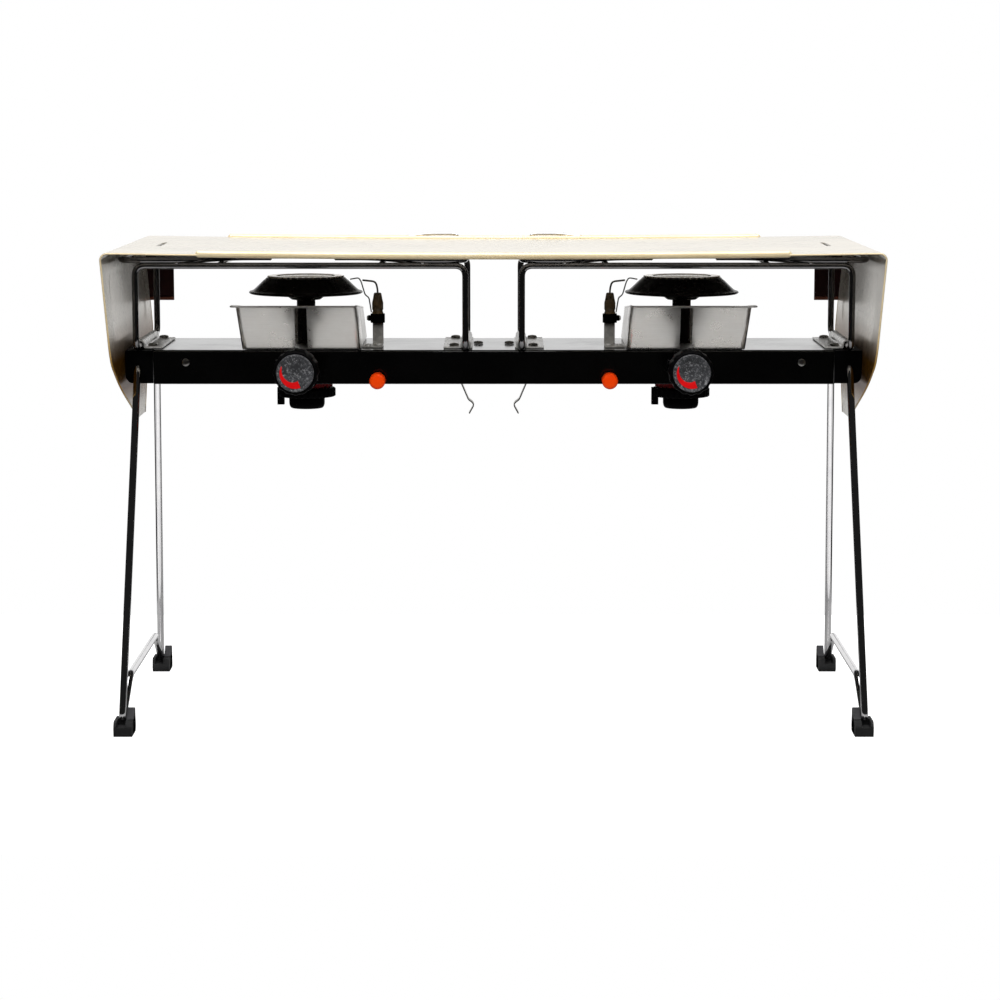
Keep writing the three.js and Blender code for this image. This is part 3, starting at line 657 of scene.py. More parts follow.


# The sheet's coat. srgb(112, 74, 16) is the brown of its painted reflection, kept to the wings' inner faces.
cover_finish = cover_metal("champagne_sheet", 0.5, srgb(206, 201, 190), srgb(222, 216, 205),
                           srgb(112, 74, 16), inside_only=True)
# A warmer, tan copy of the sheet's coat for the rolled edges and beads: the tan is painted shade on the folded edges,
# and srgb(186, 142, 60) gives them the same painted reflection low down, on both faces.
shaded_edge_finish = cover_metal("champagne_edge_painted_shade", 0.2, srgb(226, 204, 158), srgb(238, 220, 182),
                          srgb(186, 142, 60), inside_only=False)
enamel = black_enamel()
chrome = chrome_wire("chrome_wire", srgb(206, 205, 207), srgb(220, 219, 219))
# A darker copy of the legs' chrome for the grates: painted shade standing in for the dark surroundings the grate wires
# mirror.
grate_chrome = chrome_wire("grate_chrome", srgb(136, 135, 137), srgb(158, 156, 156))
zinc = zinc_hardware("zinc_plate", 0.35, srgb(206, 204, 200), srgb(232, 230, 226))
screw_zinc = zinc_hardware("zinc_screws", 1.0, srgb(150, 148, 145), srgb(186, 184, 180))
spring = spring_steel()
pan_steel = stainless()
burner_finish = burner_black()
ring_steel = burner_steel()
black_plastic = moulded("black_plastic", srgb(2, 2, 2), srgb(6, 6, 7), rough=(0.4, 0.55),
                        Specular_IOR_Level=0.04)
red_plastic = moulded("red_plastic", srgb(116, 4, 14), srgb(150, 8, 20), rough=(0.25, 0.4))
dial_red = moulded("dial_red", srgb(196, 2, 8), srgb(226, 6, 12), rough=(0.35, 0.5), texture=0.01)
dial_light = moulded("dial_light", srgb(12, 12, 13), srgb(24, 24, 26), texture=0.01)
maroon = moulded("maroon_pad", srgb(26, 2, 3), srgb(40, 6, 5), rough=(0.5, 0.65), Specular_IOR_Level=0.2)
maroon_lip = moulded("maroon_lip", srgb(84, 38, 20), srgb(110, 52, 30), rough=(0.4, 0.6))
orange_plastic = moulded("orange_plastic", srgb(255, 58, 0), srgb(255, 78, 6), rough=(0.4, 0.5), Specular_IOR_Level=0.2)
dial_plastic = dial_face()
rubber_finish = rubber("rubber_foot", srgb(4, 4, 5), srgb(11, 11, 12))
ramp_finish = rubber("rubber_ramp", srgb(26, 26, 28), srgb(52, 51, 54))
ceramic_finish = ceramic()
galvanised_finish = galvanised()

# ---------------------------------------------------------------- beam and end caps


def beam():
    wall, edge = 1.5, 2.5
    outline = []
    corners = [(BEAM.y1, BEAM.z1 - edge, 0), (BEAM.y0 + edge, BEAM.z1, 1)]
    outline += [(BEAM.y1 - wall, BEAM.z0), (BEAM.y1, BEAM.z0)]
    for centre_y, quarter in ((BEAM.y1 - edge, 0), (BEAM.y0 + edge, 1)):
        for step in range(7):
            turn = (quarter + step / 6) * QUARTER
            outline.append((centre_y + edge * math.cos(turn), BEAM.z1 - edge + edge * math.sin(turn)))
    outline += [(BEAM.y0, BEAM.z0), (BEAM.y0 + wall, BEAM.z0)]
    outline += [(BEAM.y0 + wall, BEAM.z1 - wall), (BEAM.y1 - wall, BEAM.z1 - wall)]
    add("beam_channel", prism(outline, BEAM.x0, BEAM.x1, "x"), "chassis", "black_enamel", enamel,
        ["beam"], bevel=0.3)


def end_caps():
    outer = rounded([(CAP.x0, CAP.z1), (CAP.x0, CAP.z0), (CAP.x1, CAP.z0), (CAP.x1, CAP.z1)], 1.2)
    corner = [(CAP.x0, CAP.z1), (CAP.x0, CAP.z0)]
    radius = 6
    for step in range(9):
        turn = -QUARTER + step / 8 * QUARTER
        corner.append((CAP.x1 - radius + radius * math.cos(turn), CAP.z0 + radius + radius * math.sin(turn)))
    corner.append((CAP.x1, CAP.z1))
    shell = prism(corner, CAP.y0, CAP.y1, "y")
    hollow = block(CAP.x0 + 3, CAP.x1 - 3, -48, 48, CAP.z0 - 1, CAP.z1 - 3)
    add_pair("end_cap_moulding", subtract(shell, hollow), "chassis", "black_plastic", black_plastic,
             ["end_cap_{}"], bevel=0.9, segments=3)


# ---------------------------------------------------------------- legs and feet


def leg_line():
    front = [(HINGE.x, -54, HINGE.z), (HINGE.x, -HINGE.y, HINGE.z),
             (FOOT_BEND.x, -FOOT_BEND.y, FOOT_BEND.z), (BAR_BEND.x, -BAR_BEND.y, BAR_BEND.z)]
    back = [(x, -y, z) for x, y, z in front[::-1]]
    return bent(front + back, 8, 12)


def legs():
    add_pair("leg_wire", tube(leg_line(), LEG_RADIUS, 24), "leg_{}", "chrome_wire", chrome, ["leg_frame_{}"])


def foot_part(end, x0, x1, outline):
    """Part of a foot. Its outline runs inward from the bend and up."""
    return prism([(end * (FOOT_BEND.y - inward), z) for inward, z in outline], x0, x1, "x")


def feet():
    """Rubber saddles under the bends, open toward the front so that the wire shows, with a ramp."""
    low = rounded([(-11.5, 0), (13, 0), (15, 4), (13.5, 12.5), (-8.5, 12.5), (-11.8, 8)], 1.8)
    ramp_x0, ramp_x1 = FOOT.x0, FOOT_BEND.x - 3.2
    for end, word in ((-1, "front"), (1, "back")):
        ahead = -end
        slope = ((-7, 1), (9, 1), (13, 8), (12, 19), (8, 20.5), (-3, 11))
        ramp = rounded([(ahead * u + 1, z) for u, z in slope], 1)
        groove = foot_part(end, FOOT_BEND.x - 3.7, FOOT_BEND.x + 3.7,
                           [(ahead, 7.6), (-18 * ahead, 7.6), (-18 * ahead, 30), (ahead, 30)])
        base = subtract(foot_part(end, FOOT.x0, FOOT.x1 - 3, low), groove)
        add_pair("foot_rubber", base, "leg_{}", "rubber",
                 rubber_finish, [f"foot_{{}}_{word}"], ending=f"_{word}", bevel=0.7, segments=3)
        add_pair("foot_ramp", foot_part(end, ramp_x0, ramp_x1, ramp), "leg_{}", "rubber", ramp_finish,
                 ending=f"_{word}", bevel=0.5, segments=3)


# ---------------------------------------------------------------- grates


def grate_frame():
    corners = [(GRATE_OUTER, -GRATE_Y, RAIL_Z), (GRATE_OUTER, -GRATE_Y, BASE_Z),
               (GRATE_OUTER, GRATE_Y, BASE_Z), (GRATE_OUTER, GRATE_Y, RAIL_Z),
               (GRATE_INNER, GRATE_Y, RAIL_Z), (GRATE_INNER, GRATE_Y, BASE_Z),
               (GRATE_INNER, -GRATE_Y, BASE_Z), (GRATE_INNER, -GRATE_Y, RAIL_Z)]
    return tube(bent(corners, 9, 10, closed=True), GRATE_RADIUS, 20, closed=True)


def grate_prongs(end_x):
    spread, reach, bend_from, bend_to = 31, 26, 87, 57
    side = math.copysign(1, end_x - BURNER_X)

    def at(distance):
        return BURNER_X + side * distance

    front = [(at(reach), -spread, PRONG_Z), (at(bend_to), -spread, PRONG_Z),
             (at(bend_from), -GRATE_Y, PRONG_Z), (end_x, -GRATE_Y, PRONG_Z)]
    back = [(x, -y, z) for x, y, z in front[::-1]]
    return tube(bent(front + back, 18, 12), GRATE_RADIUS, 20)


def weld(x, y, z):
    """A small bead where two wires cross."""
    return turned([(0, -2.2), (1.9, -1.4), (2.7, 0), (1.9, 1.4), (0, 2.2)], 16).moved(x, y, z)


def grates():
    whole = grate_frame() + grate_prongs(305) + grate_prongs(23.2)
    for sign in (-1, 1):
        bar = [(BURNER_X + sign * 66, -GRATE_Y, RAIL_Z), (BURNER_X + sign * 66, GRATE_Y, RAIL_Z)]
        whole = whole + tube(bar, GRATE_RADIUS, 20)
        for y in (-GRATE_Y, GRATE_Y):
            whole = whole + weld(BURNER_X + sign * 66, y, RAIL_Z)
            whole = whole + weld(BURNER_X + sign * 100, y, (RAIL_Z + PRONG_Z) / 2)
    # The grate wires wear the darker chrome copy, painted shade for their dark reflections.
    add_pair("grate_wires", whole, "chassis", "chrome_wire", grate_chrome, ["grate_{}"])


# ---------------------------------------------------------------- clamps and screws


def clamp_strap(clamp, wire_x, toward):
    thickness, foot, flat = 1.4, 5.4, 18.5
    bottom = clamp.z0
    inner = GRATE_RADIUS + 0.4
    outer = inner + thickness
    line = [(flat, bottom), (inner + 1, bottom), (inner, bottom + 1)]
    for step in range(13):
        turn = step / 12 * math.pi
        line.append((inner * math.cos(turn), BASE_Z + inner * math.sin(turn)))
    line += [(-inner, bottom), (-foot, bottom), (-foot, bottom + thickness), (-outer, bottom + thickness)]
    for step in range(13):
        turn = math.pi - step / 12 * math.pi
        line.append((outer * math.cos(turn), BASE_Z + outer * math.sin(turn)))
    line += [(outer, bottom + thickness + 0.8), (outer + 0.8, bottom + thickness), (flat, bottom + thickness)]
    outline = [(wire_x + toward * u, v) for u, v in line]
    return prism(outline, clamp.y0, clamp.y1, "y")


def screw_head(radius, height):
    """A pan head with a cross recess, on the plane z = 0."""
    head = turned([(0, 0), (radius, 0), (radius, height * 0.35), (radius * 0.93, height * 0.66),
                   (radius * 0.75, height * 0.88), (radius * 0.4, height * 0.98), (0, height)], 40)
    arm, width = radius * 0.55, radius * 0.17
    tools = []
    for turn in (0, 1):
        bar = block(-arm, arm, -width, width, height * 0.45, height + 1)
        tools.append(bar.placed(Matrix.Rotation(turn * QUARTER + 0.4, 4, "Z")))
    return subtract(head, *tools)


def clamps_and_screws():
    head = screw_head(4, 2.2)
    for word, clamp, wire_x, toward in (
            ("outer", OUTER_CLAMP, GRATE_OUTER, -1), ("inner", INNER_CLAMP, GRATE_INNER, 1)):
        add_pair("clamp_strap", clamp_strap(clamp, wire_x, toward), "chassis", "zinc_hardware", zinc,
                 [f"grate_clamp_{{}}_{word}"], ending=f"_{word}", bevel=0.35)
        for end in ("front", "back"):
            place = Box(f"clamp_screw_right_{word}_{end}")
            turned_head = head.placed(Matrix.Rotation(random.uniform(0, 3), 4, "Z"))
            add_pair("clamp_screw_head", turned_head.moved(place.x, place.y, place.z1 - 2.2), "chassis",
                     "zinc_hardware", screw_zinc, [f"clamp_screw_{{}}_{word}_{end}"], ending=f"_{word}_{end}",
                     bevel=0.12)
    place = Box("clip_screw_right")
    add_pair("clip_screw_head", head.moved(place.x, place.y, place.z1 - 2.2), "chassis",
             "zinc_hardware", screw_zinc, ["clip_screw_{}"], bevel=0.12)
    place = Box("case_screw_right")
    front = screw_head(3.3, 2.2).placed(facing((0, -1, 0)))
    add_pair("case_screw_head", front.moved(place.x, place.y0 + 2.2, place.z), "chassis",
             "zinc_hardware", screw_zinc, ["case_screw_{}"], bevel=0.12)


def spring_clips():
    leaf = [(6, CLIP.z1), (40.5, CLIP.z1), (27.5, 272.4), (21.8, 259), (18.4, 256.6), (17.3, 254.6), (21.1, CLIP.z0)]
    line = [leaf[0]] + [tuple(p) for p in bent(leaf[0:3], 3, 5)][1:-1]
    line += [tuple(p) for p in bent(leaf[2:], 1.6, 4)]
    outline = strip(line, 0.9)
    add_pair("clip_leaf", prism(outline, CLIP.y0, CLIP.y1, "y"), "chassis", "spring_steel", spring,
             ["spring_clip_{}"], bevel=0.2)


# ---------------------------------------------------------------- burner


def pan_loop(x0, x1, y0, y1, z, radius, rim=0.0):
    """A rounded outline of the tray. A rim runs along the front and a little way round the corners."""
    slope_from = -62
    points = rectangle(x0, x1, y0, y1, radius, 6)
    corner = len(points) // 4
    left, right = points[:corner], points[corner:2 * corner]
    back = points[2 * corner:]
    left = [(x, y - rim) for x, y in left]
    right = [(x + rim, y - rim) for x, y in right]
    sides = [(right[-1][0], slope_from), (x1, slope_from + 0.5)]
    whole = left + right + sides + back + [(x0, slope_from + 0.5), (x0, slope_from)]
    share = (z - PAN.z0) / (PAN.z1 - PAN.z0)
    fall = (PAN.z1 - 333) * share
    loop = []
    for x, y in whole:
        along = min(max((y - slope_from) / (58 - slope_from), 0), 1)
        loop.append(Vector((x, y, z - fall * along)))
    return loop


def drip_pans():
    wall, rim = 0.8, 4.6
    x0, x1, y0, y1 = BURNER_X - 48.4, BURNER_X + 48.4, -58, 58
    m0, m1, n0, n1 = BURNER_X - 45.6, BURNER_X + 53, -71, 58
    low, high = PAN.z0, PAN.z1
    loops = [
        pan_loop(x0 + 1, x1 - 1, y0 + 1, y1 - 1, low, 3),
        pan_loop(x0, x1, y0, y1, low + 1.2, 4),
        pan_loop(m0, m1, n0, n1, high - wall - 1, 5),
        pan_loop(m0, m1, n0, n1, high - wall - 0.2, 5, rim - 1),
        pan_loop(m0, m1, n0, n1, high - wall - 0.4, 5, rim - 0.2),
        pan_loop(m0, m1, n0, n1, high - 0.4, 5, rim),
        pan_loop(m0, m1, n0, n1, high, 5, rim - 0.4),
        pan_loop(m0 + wall, m1 - wall, n0 + wall, n1 - wall, high, 4.2),
        pan_loop(x0 + wall, x1 - wall, y0 + wall, y1 - wall, low + wall + 1.2, 3.2),
        pan_loop(x0 + wall + 1, x1 - wall - 1, y0 + wall + 1, y1 - wall - 1, low + wall, 2.2),
    ]
    slot = block(BURNER_X - 5, BURNER_X + 5, -72, -29, low + wall, high - 2)
    add_pair("drip_tray", subtract(loft(loops), slot), "chassis", "stainless_pan", pan_steel,
             ["drip_pan_{}"], smooth=30)


def burner_tubes():
    profile = [(0, TUBE.z0), (7.8, TUBE.z0), (7.8, TUBE.z0 + 8), (7.2, TUBE.z0 + 9), (7.2, TUBE.z1 - 6),
               (7.8, TUBE.z1 - 5), (7.8, TUBE.z1), (0, TUBE.z1)]
    add_pair("mixing_tube", turned(profile, 48).moved(BURNER_X, 0, 0), "chassis", "burner_black",
             burner_finish, ["burner_tube_{}"], bevel=0.2)


def burner_heads():
    bottom, top = HEAD.z0, HEAD.z1
    profile = [(0, bottom), (12, bottom), (15, 345.6), (20, 346.6), (30, 347.2), (46.5, 348.6), (47.4, 349.1),
               (47.8, 349.8), (47.1, 350.6), (46, 350.9), (44.6, 351.3), (43.4, 352.2), (41.2, 354.2),
               (38.4, 356.9), (35.8, 359.4), (34.2, 360.6), (33.2, 361.7), (32.4, top), (24, top),
               (23, 361.2), (22, 358.8), (12, 358.8), (11, 359.6), (6, 359.9), (0, 359.9)]
    add_pair("burner_cap", turned(profile, 96).moved(BURNER_X, 0, 0), "chassis", "burner_black",
             burner_finish, ["burner_head_{}"], smooth=28)


def burner_rings():
    """The flame ring, with a notch for each port round its outer side."""
    ports, steps = 36, 4
    loops = []
    for index in range(ports * steps):
        turn = 2 * math.pi * index / (ports * steps)
        outer = 31.5 if index % steps in (0, 1) else 32.2
        section = [(24.4, RING.z0), (outer, RING.z0), (outer, RING.z1 - 0.35), (31.2, RING.z1),
                   (24.8, RING.z1), (24.4, RING.z1 - 0.3)]
        loops.append([Vector((BURNER_X + r * math.cos(turn), r * math.sin(turn), z)) for r, z in section])
    add_pair("flame_ring", loft(loops, closed=True), "chassis", "burner_steel", ring_steel,
             ["burner_ring_{}"], smooth=25)
    plate = turned([(0, 361), (22.6, 361), (22.6, RING.z1 - 0.8), (22, RING.z1 - 0.4), (0, RING.z1 - 0.4)], 72)
    add_pair("flame_plate", plate.moved(BURNER_X, 0, 0), "chassis", "burner_steel", ring_steel)


# ---------------------------------------------------------------- valve, collar and knob


def valves():
    outline = rectangle(VALVE.x0, VALVE.x1, VALVE.y0, VALVE.y1, 4)
    body = prism(outline, 278, VALVE.z1, "z")
    neck = turned([(0, VALVE.z0), (11.6, VALVE.z0), (11.6, 279), (0, 279)], 48).moved(BURNER_X, 0, 0)
    add_pair("valve_block", body + neck, "chassis", "black_enamel", enamel, ["valve_body_{}"], bevel=0.8)


def lock_rings():
    low, high = LOCK.z0, LOCK.z1
    profile = [(12, low), (20.2, low), (21.3, low + 0.9, 1), (21.3, high - 0.9, 1), (20.2, high), (12, high)]
    add_pair("lock_wheel", turned(profile, 144, 24, 0.5).moved(BURNER_X, 0, 0), "chassis", "red_plastic",
             red_plastic, ["lock_ring_{}"], smooth=30)


def collars():
    """The canister socket: a fluted flange over a bulged skirt, with a thread inside."""
    low, high = COLLAR.z0, COLLAR.z1
    flange, bore, bulge = 262, 12, 15
    profile = [(bore, low), (12.6, low)]
    for step in range(9):
        turn = step / 8 * QUARTER
        profile.append((12.6 + (bulge - 12.6) * math.sin(turn), low + 5 - 5 * math.cos(turn)))
    profile += [(bulge, flange - 2), (14.4, flange - 1), (15.8, flange), (23.4, flange),
                (23.9, flange + 0.5, 1), (23.9, high - 0.7, 1), (23.2, high), (bore, high)]
    body = turned(profile, 180, 30, 0.35)
    for step in range(4):
        z = low + 2 + step * 2
        body = body + turned([(11.3, z), (12.1, z - 0.6), (12.1, z + 0.6)], 48)
    lug = prism(rectangle(-24.8, -19, -4, 4, 1), 255, high, "z")
    add_twin("canister_socket", body + lug, "chassis", "black_plastic", black_plastic,
             ["canister_collar_{}"], smooth=30)


def knobs():
    face, grip_back, skirt_back, hub_back, stem_back = 135.3, 112, 100, 64, 46.5
    profile = [(0, face), (15.4, face), (16.4, face - 0.3, 0.4), (17.3, face - 1.2, 0.8), (17.8, face - 2.6, 1),
               (17.8, grip_back + 1.6, 1), (17.2, grip_back + 0.4, 0.7), (16.5, grip_back), (16.5, skirt_back + 1),
               (15.5, skirt_back), (8.5, skirt_back), (8.5, hub_back + 0.6), (7.9, hub_back), (4, hub_back),
               (4, stem_back), (0, stem_back)]
    shape = turned(profile, 192, 16, 0.4).placed(facing((0, -1, 0)))
    for turn in (math.radians(128), math.radians(-72)):
        nub = block(-2.2, 2.2, 16.4, 18.8, 101, 112.4).placed(facing((0, -1, 0)))
        shape = shape + nub.placed(Matrix.Rotation(turn, 4, "Y"))
    add_twin("gas_knob", shape.moved(0, 0, DIAL_Z), "control_{}", "black_plastic", black_plastic,
             ["knob_{}"], smooth=38)


def dial_plate():
    back, front = -DIAL.y1, -DIAL.y0
    rim = [(0, back), (15, back), (15, front - 0.7), (14.7, front - 0.25), (14.2, front - 0.05),
           (13.9, front - 0.2), (13.6, front - 0.35), (0, front - 0.35)]
    return turned(rim, 96)


def flat_piece(outline, low, high):
    return prism(outline, low, high, "z")


def crescent(inner, outer, start, end, steps=28):
    """A band round the dial that widens from nothing at its start."""
    outside, inside = [], []
    for step in range(steps + 1):
        share = step / steps
        turn = start + (end - start) * share
        width = (outer - inner) * (0.08 + 0.92 * share ** 0.8)
        outside.append((outer * math.cos(turn), outer * math.sin(turn)))
        inside.append(((outer - width) * math.cos(turn), (outer - width) * math.sin(turn)))
    return outside + inside[::-1]


def seen_from_front(shape):
    """Puts a flat shape, drawn in X and Y as seen from the front, on the dial's plane."""
    axes = Matrix(((1, 0, 0, 0), (0, 0, -1, 0), (0, 1, 0, DIAL_Z), (0, 0, 0, 1)))
    return shape.placed(axes)


def dials():
    front = -DIAL.y0
    add_twin("dial_plate", seen_from_front(dial_plate()), "control_{}", "dial_plastic", dial_plastic,
             ["knob_dial_{}"], smooth=30)
    band = crescent(6.2, 12.2, math.radians(152), math.radians(291))
    add_twin("dial_scale", seen_from_front(flat_piece(band, front - 0.5, front - 0.2)), "control_{}",
             "red_plastic", dial_red, bevel=0.05)
    marks = Shape([], [])
    for step in range(9):
        turn = math.radians(62 + step * 8)
        mark = flat_piece(rectangle(9.6, 11 + step % 2, -0.22, 0.22), front - 0.5, front - 0.26)
        marks = marks + mark.placed(Matrix.Rotation(turn, 4, "Z"))
    add_twin("dial_marks", seen_from_front(marks), "control_{}", "dial_plastic", dial_light)


# ---------------------------------------------------------------- piezo igniter


def buttons():
    front, back = -BUTTON.y0, 68
    radius = BUTTON.x1 - BUTTON.x
    cap = [(0, front), (4.2, front - 0.05), (5.2, front - 0.4), (6.1, front - 1.3), (radius, front - 2.6),
           (radius, back), (3, back), (3, 50), (0, 50)]
    shape = turned(cap, 64).placed(facing((0, -1, 0))).moved(BUTTON.x, 0, BUTTON.z)
    add_pair("push_button", shape, "button_{}", "orange_plastic", orange_plastic, ["igniter_button_{}"])


def piezo_cases():
    front, back = -PIEZO.y0, -PIEZO.y1
    profile = [(3.4, front), (5.7, front), (6.2, front - 0.5), (6.2, back + 8), (5.4, back + 7.4),
               (5.4, back), (3.4, back), (3.4, 44)]
    shape = turned(profile, 48).placed(facing((0, -1, 0))).moved(PIEZO.x, 0, PIEZO_Z)
    add_pair("piezo_barrel", shape, "chassis", "black_plastic", black_plastic, ["piezo_case_{}"])


def igniters():
    x, y = INSULATOR.x, INSULATOR.y
    base = block(BRACKET.x0, BRACKET.x1, BRACKET.y0, BRACKET.y1, BRACKET.z0, BRACKET.z0 + 1.1)
    upright = prism(rounded([(x - 4.5, BRACKET.z0), (x + 4.5, BRACKET.z0), (x + 4.5, BRACKET.z1), (x - 4.5, BRACKET.z1)], 1.2),
                    BRACKET.y1 - 1.2, BRACKET.y1, "y")
    add_pair("igniter_mount", base + upright, "chassis", "galvanised", galvanised_finish,
             ["igniter_bracket_{}"], bevel=0.25)
    low, high = INSULATOR.z0, INSULATOR.z1
    profile = [(0, low), (4.1, low), (4.7, low + 1), (4.7, low + 9), (4.2, low + 9.8), (4.2, low + 10.8),
               (4.7, low + 11.6), (4.7, 342), (3.9, 345.5), (3.2, 349.6), (2.6, high), (0, high)]
    add_pair("igniter_ceramic", turned(profile, 40).moved(x, y, 0), "chassis", "ceramic", ceramic_finish,
             ["igniter_insulator_{}"])
    clamp = turned([(4.75, 325.4), (6, 325.4), (6, 333), (4.75, 333)], 40).moved(x, y, 0)
    clamp = clamp + block(x + 4.5, x + 8, y - 2, y + 2, 327, 331.6)
    add_pair("igniter_band", clamp, "chassis", "black_plastic", black_plastic, bevel=0.3)
    side_screw = screw_head(2, 1.2).placed(facing((1, 0, 0))).moved(x + 8, y, 329.3)
    add_pair("igniter_screw_head", side_screw, "chassis", "zinc_hardware", zinc)
    spark = [(x, y, high - 2), (x, y, high + 3), (x + 1.6, y, 359.6), (x + 12.6, y, 360.8)]
    add_pair("spark_wire", tube(bent(spark, 3, 8), 0.8, 12), "chassis", "spring_steel", spring,
             ["igniter_electrode_{}"])
    earth = [(x + 5.2, y - 1, 334), (x + 7.2, y - 1, 346.4), (x + 10.4, y - 1, 348.6), (x + 13.6, y - 1, 359.6),
             (x + 15.6, y - 1, 362.9), (x + 22.8, y - 1, 361.6)]
    add_pair("earth_wire", tube(bent(earth, 2, 6), 0.55, 10), "chassis", "spring_steel", spring)
    for index, (dx, dy) in enumerate(((-1.6, -9), (7.5, -16))):
        place = screw_head(2.6, 1.5).moved(x + dx, y + dy, BRACKET.z0 + 1.1)
        add_pair("bracket_screw_head", place, "chassis", "zinc_hardware", zinc, ending=f"_{index}", bevel=0.1)


# ---------------------------------------------------------------- cover


def top_at(x):
    away = min(abs(x) / SAG_REACH, 1)
    return COVER_TOP - SAG * (1 - away * away)


def cover_line():
    """The sheet's outer face in X and Z, from the middle of the top to the right tip, in short steps."""
    line = [(SAG_REACH * step / 40, top_at(SAG_REACH * step / 40)) for step in range(41)]
    corner_x, radius = 311.4, 6
    for step in range(9):
        turn = QUARTER * (1 - step / 8)
        line.append((corner_x - radius + radius * math.cos(turn), COVER_TOP - radius + radius * math.sin(turn)))
    wing = bent([(corner_x, COVER_TOP - radius), (304.6, 303), (304.3, 278), (298.4, COVER.z0)], 10, 6)
    dense = []
    for before, after in zip(wing, wing[1:]):
        pieces = max(1, round((after - before).length / 2.5))
        dense += [tuple(before.lerp(after, (step + 1) / pieces)) for step in range(pieces)]
    return line + dense


def wing_reach(z):
    """How far the sheet runs from the middle along Y at a height."""
    corner = 14
    waist, tip, tip_reach, reach = 303, COVER.z0, 23.5, COVER.y1
    if z >= waist + corner:
        return reach
    low_z = waist - corner / 2
    if z <= low_z:
        share = (z - tip) / (low_z - tip)
        return tip_reach + (reach - corner - tip_reach) * share
    start, middle, end = Vector((reach, waist + corner)), Vector((reach, waist)), Vector((reach - corner, low_z))
    curve = bezier(start, middle, end, 40)
    return min(curve, key=lambda point: abs(point.y - z)).x


def panel_share(y, z):
    """1 inside the wing's pressed panel, 0 outside it, with a soft step between."""
    half_y, low, high, corner, step = 104, 318, 372, 12, 4
    middle, half_z = (low + high) / 2, (high - low) / 2
    beyond_y = max(abs(y) - half_y + corner, 0)
    beyond_z = max(abs(z - middle) - half_z + corner, 0)
    distance = math.hypot(beyond_y, beyond_z) - corner
    share = min(max(-distance / step, 0), 1)
    return share * share * (3 - 2 * share)


def cover_sheet():
    line = [Vector(point) for point in cover_line()]
    whole = [Vector((-point.x, point.y)) for point in line[:0:-1]] + line
    columns = 72
    outer, inner = [], []
    for index, point in enumerate(whole):
        before = whole[max(index - 1, 0)]
        after = whole[min(index + 1, len(whole) - 1)]
        along = (after - before).normalized()
        normal = Vector((-along.y, along.x))
        reach = wing_reach(point.y) - 0.3
        outer_row, inner_row = [], []
        for column in range(columns + 1):
            y = reach * (2 * column / columns - 1)
            push = 0.8 * panel_share(y, point.y) if abs(point.x) > 300 and point.y < 380 else 0
            spot = point + normal * push
            under = point + normal * (push - SHEET)
            outer_row.append(Vector((spot.x, y, spot.y)))
            inner_row.append(Vector((under.x, y, under.y)))
        outer.append(outer_row + inner_row[::-1])
    return loft(outer)


def cover_edge(sign):
    """The rolled edge of the sheet, from wing tip to wing tip."""
    radius = 0.75
    line = [Vector(point) for point in cover_line()]
    whole = [Vector((-point.x, point.y)) for point in line[:0:-1]] + line
    path = []
    for index, point in enumerate(whole):
        before = whole[max(index - 1, 0)]
        after = whole[min(index + 1, len(whole) - 1)]
        along = (after - before).normalized()
        middle = point - Vector((-along.y, along.x)) * radius
        path.append((middle.x, sign * (wing_reach(point.y) - radius), middle.y))
    return tube(path, radius, 12)


def cover_slots():
    top = COVER_TOP
    hand = prism(rectangle(-54, 54, -128, -104, 11.9, 12), top - 12, top + 12, "z")
    sides = [prism(rectangle(sign * 278 - 1.9, sign * 278 + 1.9, -28, 28, 1.8, 6), top - 12, top + 12, "z")
             for sign in (-1, 1)]
    return [hand] + sides


def cover():
    add("cover_sheet", subtract(cover_sheet(), *cover_slots()), "cover", "cover_metal", cover_finish,
        ["cover"], bevel=0.25, smooth=40)
    radius, reach = 2.7, 236
    for sign, word in ((-1, "front"), (1, "back")):
        # The rolled edges and beads wear the tan copy of the coat, whose tan is painted shade.
        add(f"cover_edge_{word}", cover_edge(sign), "cover", "cover_metal", shaded_edge_finish)
        path = [(reach * (step / 24 - 1), sign * (COVER.y1 - radius), top_at(reach * (step / 24 - 1)) - 0.1)
                for step in range(49)]
        add(f"cover_bead_{word}", tube(path, radius, 24, soft_end=0.8), "cover", "cover_metal", shaded_edge_finish)
    slope = (311.4 - 304.6) / (384 - 303)
    sheet_x = lambda z: 304.6 + slope * (z - 303) - SHEET
    outline = [(284.5, 333), (sheet_x(333), 333), (sheet_x(384), 384), (305, 388.4), (284.5, 386.6)]
    add_pair("cover_tab", prism(outline, COVER.y1 - SHEET - 0.4, COVER.y1 - 0.4, "y"), "cover", "cover_metal",
             maroon, bevel=0.3)
    lip = block(284.5, sheet_x(333), COVER.y1 - SHEET - 1.2, COVER.y1 - SHEET - 0.3, 333, 336)
    add_pair("cover_tab_lip", lip, "cover", "cover_metal", maroon_lip, bevel=0.3)
    rise, start, end, far, y, low, high = 30, 34, 57, 92, 141.9, 385.7, 391.5
    path = bent([(rise, y, low), (start, y, high), (end, y, high), (far, y, low + 1.4)], 4, 8)
    add_pair("cover_bail", tube(path, 1.3, 16), "cover", "chrome_wire", chrome, ["cover_hook_{}"])


beam()
end_caps()
legs()
feet()
grates()
clamps_and_screws()
spring_clips()
drip_pans()
burner_tubes()
burner_heads()
burner_rings()
valves()
lock_rings()
collars()
knobs()
dials()
buttons()
piezo_cases()
igniters()
cover()

# ---------------------------------------------------------------- floor, light and camera


def only_for_camera(tree):
    return tree.nodes.new("ShaderNodeLightPath").outputs["Is Camera Ray"]


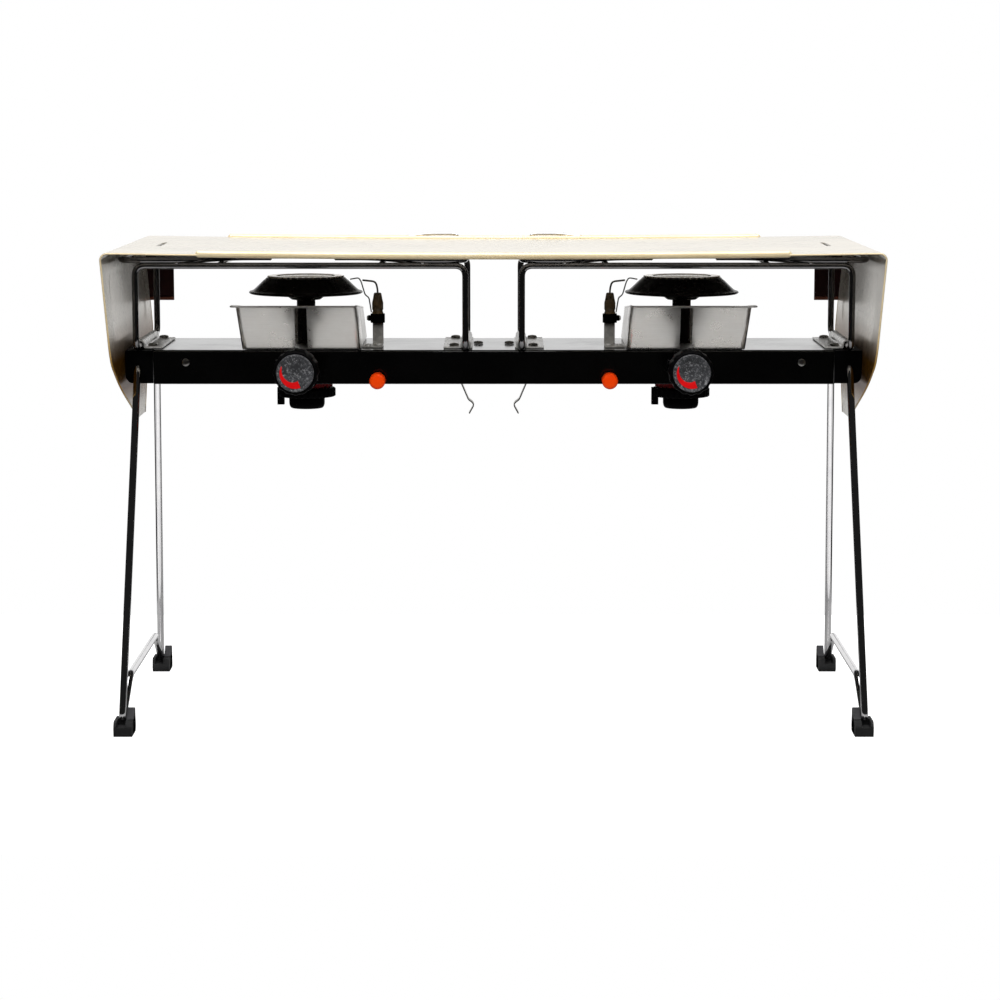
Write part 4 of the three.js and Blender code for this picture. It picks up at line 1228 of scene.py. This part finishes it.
def floor():
    """A pale pad, a little brighter to the eye than its own light, so that shadows on it stay faint."""
    left, right, front, back = -0.5, 0.5, -0.5, 0.4
    mesh = bpy.data.meshes.new("floor")
    corners = [(left, front, 0), (right, front, 0), (right, back, 0), (left, back, 0)]
    mesh.from_pydata(corners, [], [(0, 1, 2, 3)])
    made = Finish("pale_floor", Emission_Color=(1, 1, 1, 1))
    clouds = made.noise(400, 2)
    made.colour(made.mixed(made.ranged(clouds, 0, 1), (0.36, 0.36, 0.36), (0.4, 0.4, 0.4)))
    made.rough(made.ranged(clouds, 0.6, 0.7))
    made.link(made.times(only_for_camera(made.tree), 1.0), made.shader.inputs["Emission Strength"])
    mesh.materials.append(made.material)
    ground = bpy.data.objects.new("floor", mesh)
    bpy.context.scene.collection.objects.link(ground)


def soft_light(name, place, aim, width, height, power, mirrored=True):
    """A softbox out of the camera's sight. If not mirrored, glossy surfaces don't show it either."""
    data = bpy.data.lights.new(name, "AREA")
    data.shape = "RECTANGLE"
    data.size, data.size_y = width, height
    data.energy = power
    lamp = bpy.data.objects.new(name, data)
    lamp.location = place
    lamp.rotation_euler = (Vector(aim) - Vector(place)).to_track_quat("-Z", "Y").to_euler()
    lamp.visible_camera = False
    lamp.visible_glossy = mirrored
    bpy.context.scene.collection.objects.link(lamp)


def studio():
    """A white backdrop behind the stove, and a dark room on the side it is looked at from."""
    world = bpy.data.worlds.new("studio")
    world.use_nodes = True
    bpy.context.scene.world = world
    tree = world.node_tree
    background = tree.nodes["Background"]
    place = tree.nodes.new("ShaderNodeTexCoord")
    split = tree.nodes.new("ShaderNodeSeparateXYZ")
    tree.links.new(place.outputs["Generated"], split.inputs["Vector"])
    shade = tree.nodes.new("ShaderNodeMapRange")
    shade.interpolation_type = "SMOOTHSTEP"
    shade.inputs["From Min"].default_value = 0.86
    shade.inputs["From Max"].default_value = 0.97
    shade.inputs["To Min"].default_value = 0.015
    shade.inputs["To Max"].default_value = 1.0
    tree.links.new(split.outputs["Y"], shade.inputs["Value"])
    bright = tree.nodes.new("ShaderNodeMath")
    bright.operation = "MAXIMUM"
    tree.links.new(shade.outputs["Result"], bright.inputs[0])
    tree.links.new(only_for_camera(tree), bright.inputs[1])
    tree.links.new(bright.outputs[0], background.inputs["Strength"])
    background.inputs["Color"].default_value = (1, 1, 1, 1)
    soft_light("top_light", (0, -0.25, 2.2), (0, 0, 0), 2.8, 2.2, 85)
    soft_light("front_fill", (0, -2.4, 1.5), (0, 0, 0.2), 2.6, 1.4, 48, mirrored=False)
    soft_light("low_light", (0, 0.03, 0.14), (0, 1, 0.14), 1.5, 0.27, 1.0)


def camera():
    data = bpy.data.cameras.new("camera")
    data.sensor_width = 36
    data.lens = 101.95
    eye = bpy.data.objects.new("camera", data)
    eye.location = (0.0052, -2.38, 0.513)
    eye.rotation_euler = (math.radians(90 - 8.128), 0, 0)
    bpy.context.scene.collection.objects.link(eye)
    bpy.context.scene.camera = eye


floor()
studio()
camera()
bpy.context.scene.view_settings.view_transform = "Standard"
